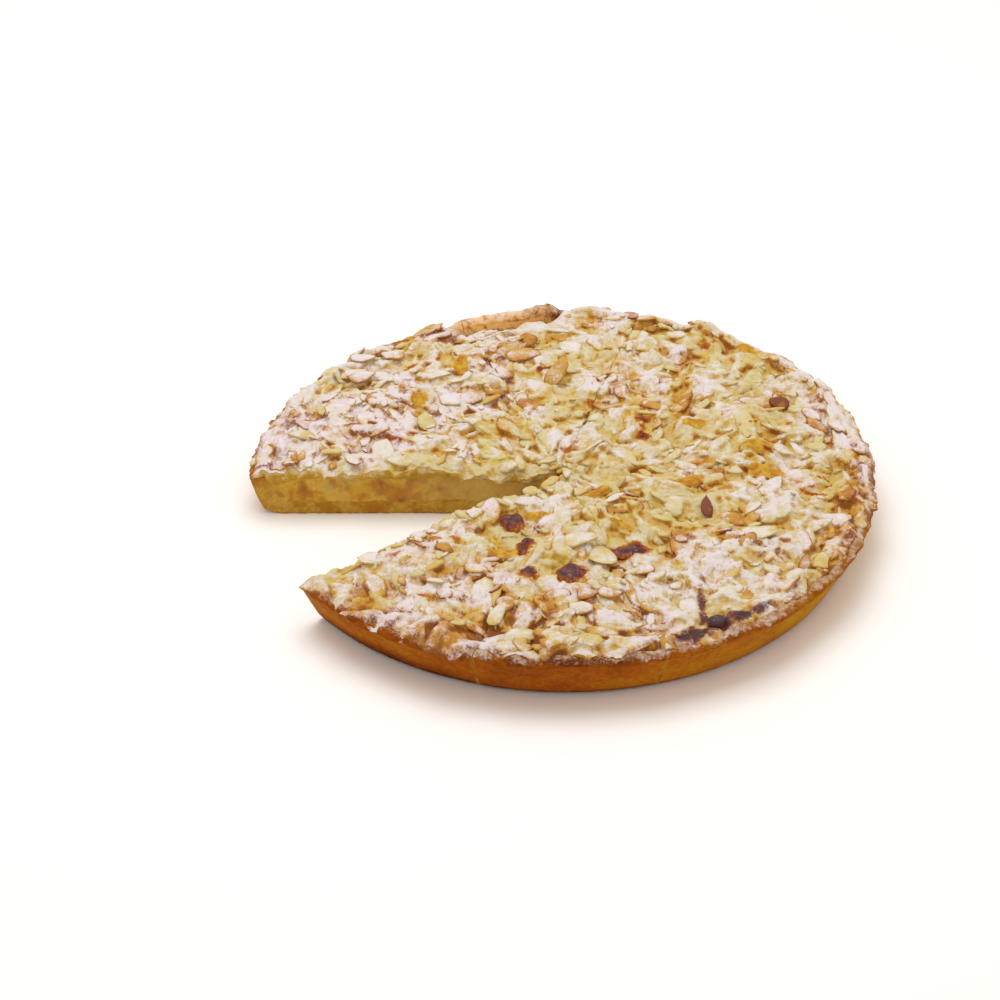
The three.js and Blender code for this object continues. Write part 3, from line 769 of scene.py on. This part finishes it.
JUICE_STAINS = [
    (301, 127.5, 13, 12, 30, 1.0), (295.5, 129.5, 20, 10, 20, 1.3), (305.5, 130, 14, 5.5, 30, 1.0),
    (310, 130.5, 12, 5, 40, 0.95), (299.5, 121, 4.5, 14, 0, 0.8), (302, 112, 4, 16, 5, 0.75),
    (306, 102, 3.5, 14, 15, 0.65), (289, 126, 8, 3, 10, 0.7), (344, 131, 10, 4, 70, 0.7),
    (339, 133, 9, 4, 70, 0.7),
]
DIPS = [(252.5, 124.5, 16, 10, 345, 2.2), (288, 79.5, 7, 6, 0, 5.0)]
# Each drift adds or takes sugar; the large one at the left also stands in for brighter light there as painted
# light, and the one at the back takes sugar away as painted shade.
SUGAR_AND_LIGHT_DRIFTS = [
    (158, 100, 90, 80, 0, 0.82), (80, 100, 90, 44, 0, -0.15), (350, 129, 44, 36, 90, -0.05),
    (300, 108, 50, 40, 0, 0.25), (234, 112, 60, 44, 320, 0.15), (40, 122, 50, 90, 40, -0.15),
    (221, 131, 24, 24, 0, 0.4), (309, 20, 90, 80, 0, -0.25), (350, 62, 60, 50, 0, -0.2),
    (252.5, 124.5, 20, 14, 345, -0.8), (283.2, 131.1, 30, 9, 24, 0.5), (263.4, 133.4, 20, 9, 2, 0.4),
    (257.8, 126.2, 20, 9, 42, 0.3),
]
ROPES = [
    (221, 135, 15, 8, 333, 3.0), (227, 135, 13, 6.5, 40, 2.6), (232.5, 134.5, 21, 6, 357, 3.0),
    (237.4, 133.5, 18, 6.5, 43, 3.0), (243.4, 131, 22, 6.5, 24, 3.0), (248.3, 132, 17, 6.5, 54, 2.8),
    (253.8, 132.1, 16, 6, 28, 2.4), (257.8, 126.2, 19, 6.5, 42, 2.4), (263.4, 133.4, 16, 5, 2, 2.2),
    (269.5, 129.5, 16, 6, 22, 2.4), (274.8, 134, 12, 4.5, 5, 2.0), (283.2, 131.1, 26, 5, 24, 2.2),
]
FOLD_STRETCHES = [(340, 388, 15, 3.3), (28, 86, 18, 3.1), (130, 181, 15, 2.2)]  # first, last, count, height
ROPE_BEND = 1.6
ripple = mottle((0.22, 5, 25), (0.12, 2, 26))


def seen_from(angle, radius, heading):
    """Each map place along and across a heading, from a place on the tart, with angles in degrees."""
    angle, heading = np.radians(angle), np.radians(heading)
    x, y = MAP_X - radius * np.cos(angle), MAP_Y - radius * np.sin(angle)
    return x * np.cos(heading) + y * np.sin(heading), y * np.cos(heading) - x * np.sin(heading)


def spot(angle, radius, length, width, heading):
    """How far each map place is from a spot's middle, as a share of its uneven oval outline."""
    along, across = seen_from(angle, radius, heading)
    return np.hypot(2 * along / length, 2 * across / width) + ripple


def rope(angle, radius, length, width, heading):
    """How far each map place is from a rope's middle line, which bends a little, as a share of half its
    width."""
    along, across = seen_from(angle, radius, heading)
    across = across + ROPE_BEND * (2 * along / length) ** 2
    past = np.maximum(np.abs(along) - (length - width) / 2, 0)
    return np.hypot(past, across) / (width / 2) + 0.7 * ripple


def dome(away):
    """Height of a half round over the share of its outline, 1 in its middle and 0 from its edge outwards."""
    return np.sqrt(np.clip(1 - away**2, 0, 1))


def edge_folds(first, last, count, height):
    """Places and heights of folds of batter along a stretch of the edge, each strayed and turned a little."""
    for n in np.arange(count) + first:
        angle = first + (last - first) * (n - first + draw(n, 71)) / count
        radius = batter_edge(np.radians(angle)) - 1.5 - 5.0 * draw(n, 72)
        heading = angle + 78 + 46 * (draw(n, 73) - 0.5)
        length, width = 11 + 7 * draw(n, 74), 5.5 + 2.5 * draw(n, 75)
        yield angle, radius, length, width, heading, (0.6 + 0.4 * draw(n, 76)) * height


crumbs = np.abs(mottle((0.5, 4.2, 24))) + np.abs(mottle((0.5, 2.2, 29))) + mottle((0.25, 1.3, 40)) - 0.3
coat = 0.2 + mottle((0.9, 12, 23)) + crumbs - smooth(mottle((1, 8.5, 30)), 0.4, 0.85)
batter_top = softened(np.minimum(pile, softened(pile, 2.5) + 0.6), 0.5) + coat
batter_top = np.maximum(batter_top, batter_base - 1.5)
mound = softened(pile, 2.0)
scorch_and_shadow, juice, lump, fold = np.zeros((4, *pile.shape))
# Scorches, and painted shadows between flakes, darken the batter in spots.
for *place, amount in SCORCHES_AND_SHADOWS:
    scorch_and_shadow = np.maximum(scorch_and_shadow, amount * smooth(-spot(*place), -1.3, -0.2))
for *place, rise in GOLDEN_LUMPS:
    away = spot(*place)
    batter_top = np.where(away < 1, np.maximum(batter_top, mound + 0.2 + rise * dome(away)), batter_top)
    lump = np.maximum(lump, smooth(-away, -1.15, -0.75))
for *place, rise in itertools.chain(ROPES, *(edge_folds(*stretch) for stretch in FOLD_STRETCHES)):
    fold = np.maximum(fold, rise * dome(rope(*place)))
batter_top = np.where(fold > 0, np.maximum(batter_top, mound - 0.7 + fold + 0.6 * crumbs), batter_top)
for *place, amount in JUICE_STAINS:
    juice = np.maximum(juice, amount * smooth(-spot(*place), -1.5, -0.3))
for *place, depth in DIPS:
    batter_top -= depth * smooth(-spot(*place), -1.1, -0.3)
# How deep each place lies below its surroundings; the finish paints these hollows darker and more golden as
# shade.
hollow = softened(batter_top, 3.5) - batter_top
sugar = 0.45 + mottle((0.42, 24, 35), (0.62, 11, 36), (0.2, 5, 37))
sugar += 0.06 * fold - 0.35 * np.clip(hollow, -0.7, 1)
sugar -= 0.35 * rim + 1.0 * lump + 1.1 * juice + 1.2 * scorch_and_shadow
# Drifts of sugar, two of which also paint light and shade.
for *place, amount in SUGAR_AND_LIGHT_DRIFTS:
    sugar += amount * np.exp(-spot(*place) ** 2)

# The batter's finish and its slices: cream, yellow to golden in its hollows and on steep faces, partly as
# painted shade, golden on flake rims and toasted stretches, darker at the front as painted shade, dark where
# scorched or stained by juice and in painted shadows between flakes, mustard inside as painted shade of the
# gap, and dusted with icing sugar that has soaked in or melted in places.
# Painted shade: the inside runs to a mustard darker than the batter's own cream, as shade and warm bounced
# light in the gap.
SHADED_BATTER_INSIDE = [(0.0, (0.64, 0.55, 0.32)), (0.4, (0.58, 0.40, 0.08)), (1.0, (0.48, 0.26, 0.02))]
BATTER_SKIN = [(0.0, (0.635, 0.55, 0.315)), (0.24, (0.625, 0.462, 0.205)), (0.48, (0.60, 0.372, 0.065)),
               (0.74, (0.50, 0.22, 0.025)), (1.0, (0.30, 0.10, 0.017))]
BATTER_LIME = (0.62, 0.50, 0.08)
GOLDEN_FRUIT = [(0.62, 0.38, 0.03), (0.46, 0.18, 0.012)]
# Dark tones of the scorches, also used for the painted shadows between flakes.
SCORCH_AND_SHADOW_TONES = [(0.0, (0.62, 0.30, 0.03)), (0.45, (0.46, 0.14, 0.015)), (0.75, (0.22, 0.04, 0.012)),
            (1.0, (0.05, 0.013, 0.010))]
JUICE = [(0.0, (0.45, 0.19, 0.12)), (0.5, (0.22, 0.065, 0.06)), (1.0, (0.045, 0.018, 0.03))]
SUGAR_CREAM = (0.765, 0.70, 0.71)
SUGAR_WHITE = (0.775, 0.71, 0.785)
SUGAR_MELTED = (0.735, 0.71, 0.55)
OUT_STEPS, ACROSS_STEPS, RISE_STEPS = 221, 151, 9
SHORT_HANG = (237, 20)  # where the batter hardly hangs down the wall
SLOPE_REACH = 5.5  # how far the crumbled slope beside the gap runs in
top_maps = {"hollow": hollow, "rim": rim, "toast_and_shade": toast_and_shade, "sugar": sugar, "scorch_and_shadow": scorch_and_shadow, "juice": juice,
            "lump": lump}


def sugared(finish, share, colour):
    """A colour under icing sugar, which is white where it lies thick, creamier where it has soaked in, and
    a greenish yellow where it has melted."""
    tone = finish.blend(finish.ease(finish.noise(7), 0.38, 0.58), SUGAR_CREAM, SUGAR_WHITE)
    tone = finish.blend(finish.ease(finish.noise(11), 0.52, 0.66, 0, 0.6), tone, SUGAR_MELTED)
    return finish.blend(share, colour, tone)


def almond_batter():
    """Skin by its gold, a sum of hollows and steep faces, partly painted shade, flake rims, and toasting with
    painted shade at the front, then fruit, the inside by the depth under the top, painted darker as shade,
    scorches with painted shadows, juice and sugar, one over the other."""
    finish = Finish("almond_batter", Roughness=0.75, Specular_IOR_Level=0.2, Subsurface_Weight=0.15,
                    Subsurface_Radius=(1.0, 0.6, 0.25), Subsurface_Scale=0.0015)
    fine = finish.noise(1.8, 4, 0.65)
    # Painted shade: hollows and steep faces are made more golden and darker; on steep faces this is partly
    # toasting left bare of sugar.
    gold = finish.add(finish.times(finish.ease(finish.mark("hollow"), -0.4, 1.2), 0.5),
                      finish.times(finish.mark("rim"), 0.45),
                      finish.ease(finish.mark("toast_and_shade"), 0.0, 1.5, -0.15, 0.7),
                      finish.ease(finish.facing_up(), 0.95, 0.5, 0, 0.5), finish.spread(fine, -0.08, 0.08))
    lime = finish.times(finish.ease(finish.noise(6), 0.5, 0.7, 0, 0.65), finish.ease(gold, 0.75, 0.4))
    skin = finish.blend(lime, finish.ramp(gold, BATTER_SKIN), BATTER_LIME)
    fruit = finish.blend(finish.ease(finish.noise(4, 3, 0.6), 0.35, 0.65), *GOLDEN_FRUIT)
    skin = finish.blend(finish.ease(finish.mark("lump"), 0.2, 0.8), skin, fruit)
    # The inside, painted darker towards mustard as shade in the gap.
    deep = finish.add(finish.mark("depth"), finish.spread(finish.noise(6, 3, 0.6), -3.5, 3.5),
                      finish.spread(fine, -1.5, 1.5))
    inside = finish.ramp(finish.ease(deep, -1, 5.5), SHADED_BATTER_INSIDE)
    depth = finish.add(finish.mark("depth"), finish.spread(fine, -0.4, 0.4))
    colour = finish.blend(finish.ease(depth, 0.3, 1.4), skin, inside)
    # Scorches and painted shadows between flakes, in the same dark tones.
    burn = finish.add(finish.mark("scorch_and_shadow"), finish.spread(fine, -0.18, 0.18))
    colour = finish.blend(finish.ease(burn, 0.12, 0.4), colour, finish.ramp(burn, SCORCH_AND_SHADOW_TONES))
    stain = finish.add(finish.mark("juice"), finish.spread(finish.noise(2.5, 4, 0.7), -0.45, 0.25))
    colour = finish.blend(finish.ease(stain, 0.05, 0.6, 0, 0.95), colour, finish.ramp(stain, JUICE))
    colour = sugared(finish, sugar_dust(finish), colour)
    bump = finish.bump(fine, 0.7, finish.bump(finish.noise(0.8, 2, 0.6), 0.3))
    return finish.wire(Base_Color=colour, Normal=bump)


def rim_surface(radius):
    """Height of the batter's underside on the pastry rim: a little under the rim's rounded top, so that it
    is bedded in it, and at the shoulder on either side."""
    middle = wall_outside(RIM_SHOULDER) - WALL_THICKNESS / 2
    across = np.clip(2 * (radius - middle) / WALL_THICKNESS, -1, 1)
    return RIM_SHOULDER - 0.8 - 0.4 * np.sqrt(1 - across**2)


def batter_slice(number, finish):
    """One slice's batter: a block from the filling up to the map of the top. It runs out over the rim and
    hangs down the wall a little, or dips to a bare rim. Its cut faces are crumbly and overhang at the top,
    beside the gap it slopes down, and its hidden underside is plain strips from cut to cut."""
    out, share, rise = (np.linspace(0, 1, steps) for steps in (OUT_STEPS, ACROSS_STEPS, RISE_STEPS))
    faces, out, share, rise = box_skin(out, share, rise, plain_floor=True)
    start, end = CUTS[number - 1], CUTS[number]
    angle = start + (end - start) * share
    radius = TIP_RADIUS + (spread_edge(angle) - TIP_RADIUS) * out
    x, y = slice_point(number, radius, share)
    on_shell = smooth(radius, wall_inside(RIM_SHOULDER) - 1.2, wall_inside(RIM_SHOULDER) + 0.4)
    bottom = filling_level(radius, x, y)
    bottom = bottom + (rim_surface(radius) - bottom) * on_shell
    hang = np.maximum(0.6 + rough(x, y, 0, (1.3, 5, 48), (1.0, 2, 49)), 0)
    hang = hang * (1 - 0.95 * bell(angle, *SHORT_HANG))
    bottom = bottom - hang * rim_cover(angle) * smooth(radius, TART_RADIUS - 2.5, TART_RADIUS - 1)
    from_cut = np.minimum(share, 1 - share) * (end - start) * radius
    from_gap = (share if number == GAP_SLICES[0] else 1 - share) * (end - start) * radius
    at_gap = np.exp(-((from_gap / SLOPE_REACH) ** 2)) * (number in GAP_SLICES) * smooth(-radius, -134, -120)
    ragged = 0.4 + 0.9 * np.abs(grain(x, y, 0, 3.0, 44))
    sunk = 0.8 + 3.0 * np.clip(grain(x, y, 0, 6, 62) + 0.2, 0, 1) + 0.5 * grain(x, y, 0, 2.2, 64)
    top = on_map(batter_top, x, y) - ragged * np.exp(-from_cut / 1.3) - sunk * at_gap
    top = np.maximum(top, bottom + 0.5)
    height = bottom + (top - bottom) * rise
    tuck = np.maximum(radius - wall_outside(bottom) - 0.4, 0) * (1 - rise) ** 2
    knobs = rough(x, y, height, (1.2, 4.5, 59), (0.8, 2, 60)) * rim_cover(angle) * smooth(rise, 0, 0.3)
    x, y = slice_point(number, radius + (knobs - tuck) * (out == 1), share)
    depth = top - height
    crumb = cut_relief(x, y, height) * smooth(depth, 0, 1.2)
    if number in GAP_SLICES:
        fringe = 0.8 + rough(x, y, height, (1.5, 3.5, 50), (0.6, 1.8, 58))
        crumb = crumb - fringe * np.exp(-((depth - 1.5) / 2.0) ** 2)
    x, y = push_cut_faces(number, x, y, share, crumb)
    marks = {name: on_map(level, x, y) for name, level in top_maps.items()}
    marks["depth"] = np.where((out == 1) & (share > 0) & (share < 1), 0, depth)
    # The hanging outer side darkens towards its bottom: partly toasting, partly painted shade under the
    # overhang.
    marks["toast_and_shade"] = marks["toast_and_shade"] + 0.2 * (out == 1) * (1 - rise) - 0.8 * at_gap
    marks["sugar"] = marks["sugar"] - (0.55 + 0.6 * grain(x, y, height, 3, 63)) * at_gap
    piece = new_piece(f"batter_{number}", np.stack([x, y, height], -1), faces, marks, finish)
    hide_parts(f"topping_{number}")


batter_finish = almond_batter()
for number in SLICES:
    batter_slice(number, batter_finish)

# Flaked almonds: thin ovals sliced from blanched nuts, ivory with a toasted rim, bent a little by the heat.
# They are baked into the batter with part of their edge free, and those at a cut end where the knife passed.
FLAKE_SIDES = 12
FLAKE_RINGS = [(0.5, 1.0, 0.0), (0.84, 0.72, 0.3), (1.0, 0.0, 1.0), (0.92, -0.9, 1.0)]  # reach, level, rim
FLAKE_CREASE = 100
ALMOND_TONES = [(0.0, (0.64, 0.55, 0.29)), (0.25, (0.62, 0.45, 0.13)), (0.5, (0.57, 0.31, 0.05)),
                (0.75, (0.47, 0.18, 0.025)), (1.0, (0.20, 0.055, 0.02))]


def ivory_almond():
    """Ivory flakes, golden to brown towards the rim by each flake's toasting, which at the front carries
    painted shade, dusted with sugar.
    """
    finish = Finish("ivory_almond", Roughness=0.55, Specular_IOR_Level=0.3, Subsurface_Weight=0.2,
                    Subsurface_Radius=(1.0, 0.65, 0.3), Subsurface_Scale=0.0012)
    own = finish.mark("toast_and_shade")
    toasting = finish.add(finish.times(finish.mark("rim"), finish.ease(own, -0.2, 0.9, 0.08, 0.24)),
                          finish.ease(own, 0.0, 1.8, 0.0, 1.05),
                          finish.spread(finish.noise(5, 3, 0.6), -0.15, 0.2))
    dust = finish.times(sugar_dust(finish), finish.ease(own, 0.9, 1.1, 1.0, 0.3))
    colour = sugared(finish, dust, finish.ramp(toasting, ALMOND_TONES))
    bump = finish.bump(finish.noise(2.6, 3, 0.6), 0.8, finish.bump(finish.noise(0.9, 2, 0.6), 0.3))
    return finish.wire(Base_Color=colour, Normal=bump)


def ringed_faces(sides, rings, count):
    """Faces of a number of like shapes, each a top point, rings of points from the top down, and a bottom
    point: a fan at either end and bands of four-sided faces between the rings."""
    side = np.arange(sides)
    after = np.roll(side, -1)
    top = np.stack([np.zeros_like(side), 1 + side, 1 + after], -1)
    last = 1 + sides * (rings - 1)
    under = np.stack([np.full_like(side, last + sides), last + after, last + side], -1)
    band = np.stack([1 + side, 1 + sides + side, 1 + sides + after, 1 + after], -1)
    bands = (band + sides * np.arange(rings - 1)[:, None, None]).reshape(-1, 4)
    first = (np.arange(count) * (2 + sides * rings))[:, None, None]
    return [(face + first).reshape(-1, face.shape[1]) for face in (top, under, bands)]


def flake_points(which):
    """Points of a set of flakes, and how near each is to its flake's rim. A flake is rings of an oval that
    narrows to one end, set on its plane by its heading and slopes, bowed along its length and twisted."""
    turn = np.arange(FLAKE_SIDES) * 2 * np.pi / FLAKE_SIDES
    rings = [np.stack([reach * np.cos(turn), reach * np.sin(turn), np.full(FLAKE_SIDES, rise),
                       np.full(FLAKE_SIDES, rim)], -1) for reach, rise, rim in FLAKE_RINGS]
    shape = np.concatenate([[(0, 0, 1, 0)], *rings, [(0, 0, -0.9, 0.4)]])
    x, y, heading, length, width = (column[:, None] for column in flakes[which].T)
    slope = flake_slope[which]
    n = flake_number[which][:, None]
    uneven = 1 + 0.17 * (2 * draw(n * 16 + np.arange(len(shape)) % FLAKE_SIDES, 51) - 1)
    broken_at = np.where(laid_last[n], 1, 0.1 + 2.5 * draw(n, 57))
    along = np.minimum(shape[:, 0], broken_at) * length / 2 * uneven
    across = shape[:, 1] * width / 2 * (1 - FLAKE_TAPER * shape[:, 0]) * uneven
    bow = 0.9 * (draw(n, 52) - 0.35) * (2 * along / length) ** 2
    bow = bow + 1.1 * (draw(n, 53) - 0.5) * along * across / 30
    off = shape[:, 2] * flake_thickness[which][:, None] / 2 + bow * length / 14
    ahead = np.concatenate([np.cos(heading), np.sin(heading), slope[:, :1]], 1)
    aside = np.concatenate([-np.sin(heading), np.cos(heading), slope[:, 1:]], 1)
    up = np.cross(ahead, aside)
    up /= np.linalg.norm(up, axis=1, keepdims=True)
    ahead /= np.linalg.norm(ahead, axis=1, keepdims=True)
    aside = np.cross(up, ahead)
    middle = np.concatenate([x, y, flake_level[which][:, None]], 1)
    points = (middle[:, None] + along[..., None] * ahead[:, None] + across[..., None] * aside[:, None]
              + off[..., None] * up[:, None])
    return points, np.broadcast_to(shape[:, 3], along.shape)


def held_to_slice(number, points, spare):
    """Points of flakes brought back to a slice's cut planes where they pass them by more than the spare."""
    start, end = CUTS[number - 1], CUTS[number]
    for heading, turned in ((start, 1), (end, -1)):
        square = turned * np.array([-np.sin(heading), np.cos(heading)])
        past = np.minimum(points[..., :2] @ square + spare[:, None], 0)
        points[..., :2] -= past[..., None] * square
    return points


almond_finish = ivory_almond()
marred = np.maximum.reduce([scorch_and_shadow, juice, lump])
flake_angle = np.mod(np.arctan2(flakes[:, 1], flakes[:, 0]) - CUTS[0], 2 * np.pi)
flake_slice = 1 + np.searchsorted(CUTS[1:] - CUTS[0], flake_angle)
for number in SLICES:
    mine = np.flatnonzero(flake_slice == number)
    points, _ = flake_points(mine)
    x, y, height = np.moveaxis(points, -1, 0)
    shows = np.mean(height - on_map(batter_top, x, y) > 0.1, 1) > 0.08
    mine = mine[shows & ((on_map(marred, x, y).max(1) <= 0.55) | laid_last[mine])]
    points, rims = flake_points(mine)
    points = held_to_slice(number, points, 0.9 * draw(flake_number[mine], 55))
    dusted = on_map(sugar, points[..., 0], points[..., 1]) + flake_sugar[mine][:, None] - 1.2 * rims**2
    marks = {"rim": rims, "toast_and_shade": np.broadcast_to(flake_toast_and_shade[mine][:, None], rims.shape), "sugar": dusted}
    faces = ringed_faces(FLAKE_SIDES, len(FLAKE_RINGS), mine.size)
    points = points.reshape(-1, 3)
    new_piece(f"almonds_{number}", points, faces, marks, almond_finish, FLAKE_CREASE)

# Blisters: juice and sugar that bubbled up through the topping and burnt to a dark red-brown skin.
# Each is a dome stuck on the batter, almost black on top, orange at its foot, and a little glossy.
BLISTER_SIDES, BLISTER_RINGS = 24, 10
BLISTER_FOOT = -0.6  # the lowest ring, as an angle below the dome's own base
BLISTER_CREASE = 80
BLISTER_SKIN = [(0.0, (0.52, 0.20, 0.015)), (0.3, (0.33, 0.075, 0.012)), (0.65, (0.18, 0.028, 0.011)),
                (1.0, (0.05, 0.013, 0.018))]


def burnt_juice():
    """Orange at the foot, dark red-brown up the side and nearly black on top, with paler specks."""
    finish = Finish("burnt_juice", Roughness=0.4, Specular_IOR_Level=0.4)
    burn = finish.add(finish.mark("lift"), finish.spread(finish.noise(2.2, 3, 0.7), -0.4, 0.4))
    specks = finish.ease(finish.noise(0.9, 2, 0.6), 0.62, 0.72, 0, 0.45)
    colour = finish.blend(specks, finish.ramp(burn, BLISTER_SKIN), SUGAR_WHITE)
    return finish.wire(Base_Color=colour, Normal=finish.bump(finish.noise(1.1, 3, 0.7), 0.5))


def blister_domes():
    """Points, faces and marks of the domes: rings that follow a quarter circle from below the foot to the
    top, stretched to each blister's length, width and rise, with a wrinkled skin."""
    lift = np.linspace(np.pi / 2, BLISTER_FOOT, BLISTER_RINGS + 1)[1:, None]
    turn = np.arange(BLISTER_SIDES) * 2 * np.pi / BLISTER_SIDES
    rings = np.stack([np.cos(lift) * np.cos(turn), np.cos(lift) * np.sin(turn), np.sin(lift) + 0 * turn], -1)
    shape = np.concatenate([[(0, 0, 1)], rings.reshape(-1, 3), [(0, 0, np.sin(BLISTER_FOOT))]])
    angle, radius, length, width, heading, rise, charring = (column[:, None] for column in BLISTERS.T)
    angle, heading = np.radians(angle), np.radians(heading)
    middle_x, middle_y = radius * np.cos(angle), radius * np.sin(angle)
    wrinkle = 1 + 0.24 * grain(shape[:, 0] * 1.6, shape[:, 1] * 1.6, shape[:, 2] + radius, 1, 45)
    along, across = shape[:, 0] * length / 2 * wrinkle, shape[:, 1] * width / 2 * wrinkle
    x = middle_x + along * np.cos(heading) - across * np.sin(heading)
    y = middle_y + along * np.sin(heading) + across * np.cos(heading)
    z = on_map(mound, middle_x, middle_y) + shape[:, 2] * rise * wrinkle + 0.2 * grain(x, y, 0, 1.6, 46)
    faces = ringed_faces(BLISTER_SIDES, BLISTER_RINGS, len(BLISTERS))
    return np.stack([x, y, z], -1).reshape(-1, 3), faces, shape[:, 2] + charring


points, faces, lift = blister_domes()
new_piece("blisters", points, faces, {"lift": lift}, burnt_juice(), BLISTER_CREASE)

# The floor: a plain pale table top, white and matt, on which the tart stands.
# It is far larger than the tart, so that its edge stays out of the picture.
FLOOR_SIZE = 6000.0
FLOOR_WHITE = (0.97, 0.965, 0.955, 1)
floor_mesh = bpy.data.meshes.new("table_top")
corners = np.array([(-1, -1, 0), (1, -1, 0), (1, 1, 0), (-1, 1, 0)]) * FLOOR_SIZE / 2 * MM
floor_mesh.from_pydata(corners.tolist(), [], [(0, 1, 2, 3)])
floor_mesh.materials.append(Finish("white_table", Base_Color=FLOOR_WHITE, Roughness=0.8).material)
floor = bpy.data.objects.new("table_top", floor_mesh)
bpy.context.collection.objects.link(floor)

# Soft studio light: a pale, slightly warm room all round, and a broad square lamp above the tart, behind it
# and to the left, so that the front and the right are a little darker.
ROOM_COLOUR, ROOM_STRENGTH = (1, 0.92, 0.83, 1), 0.82
LAMP_PLACE = np.array([-0.12, 0.25, 1.08])
LAMP_SIZE = 0.8
LAMP_POWER = 6.4
LAMP_COLOUR = (0.88, 0.93, 1)
world = bpy.data.worlds.new("pale_room")
world.use_nodes = True
world.node_tree.nodes["Background"].inputs["Color"].default_value = ROOM_COLOUR
world.node_tree.nodes["Background"].inputs["Strength"].default_value = ROOM_STRENGTH
bpy.context.scene.world = world
soft_light = bpy.data.lights.new("soft_light", "AREA")
soft_light.size = LAMP_SIZE
soft_light.energy = LAMP_POWER
soft_light.color = LAMP_COLOUR
lamp = bpy.data.objects.new("soft_light", soft_light)
lamp.location = LAMP_PLACE
lamp.rotation_euler = Vector(LAMP_PLACE).to_track_quat("Z", "Y").to_euler()
bpy.context.collection.objects.link(lamp)
bpy.context.scene.view_settings.view_transform = "Standard"

# The camera: a long lens in front of the tart, looking down on it, aimed so that the tart lies a little
# to the right of the picture's middle.
CAMERA_TILT = np.radians(35.06)
CAMERA_DISTANCE = 1.1312
PICTURE_WIDTH = 1000
FOCAL_PIXELS = 2500
BASE_MIDDLE_PIXEL = (560.7, 512.6)
camera_data = bpy.data.cameras.new("camera")
camera_data.sensor_width = 36
camera_data.lens = FOCAL_PIXELS * camera_data.sensor_width / PICTURE_WIDTH
camera = bpy.data.objects.new("camera", camera_data)
bpy.context.collection.objects.link(camera)
back = np.array([0, -np.cos(CAMERA_TILT), np.sin(CAMERA_TILT)])
above = np.array([0, np.sin(CAMERA_TILT), np.cos(CAMERA_TILT)])
shift = (np.array(BASE_MIDDLE_PIXEL) - PICTURE_WIDTH / 2) / FOCAL_PIXELS * CAMERA_DISTANCE
aim = np.array([-shift[0], 0, 0]) + shift[1] * above
camera.location = back * CAMERA_DISTANCE
camera.rotation_euler = Vector(back * CAMERA_DISTANCE - aim).to_track_quat("Z", "Y").to_euler()
bpy.context.scene.camera = camera
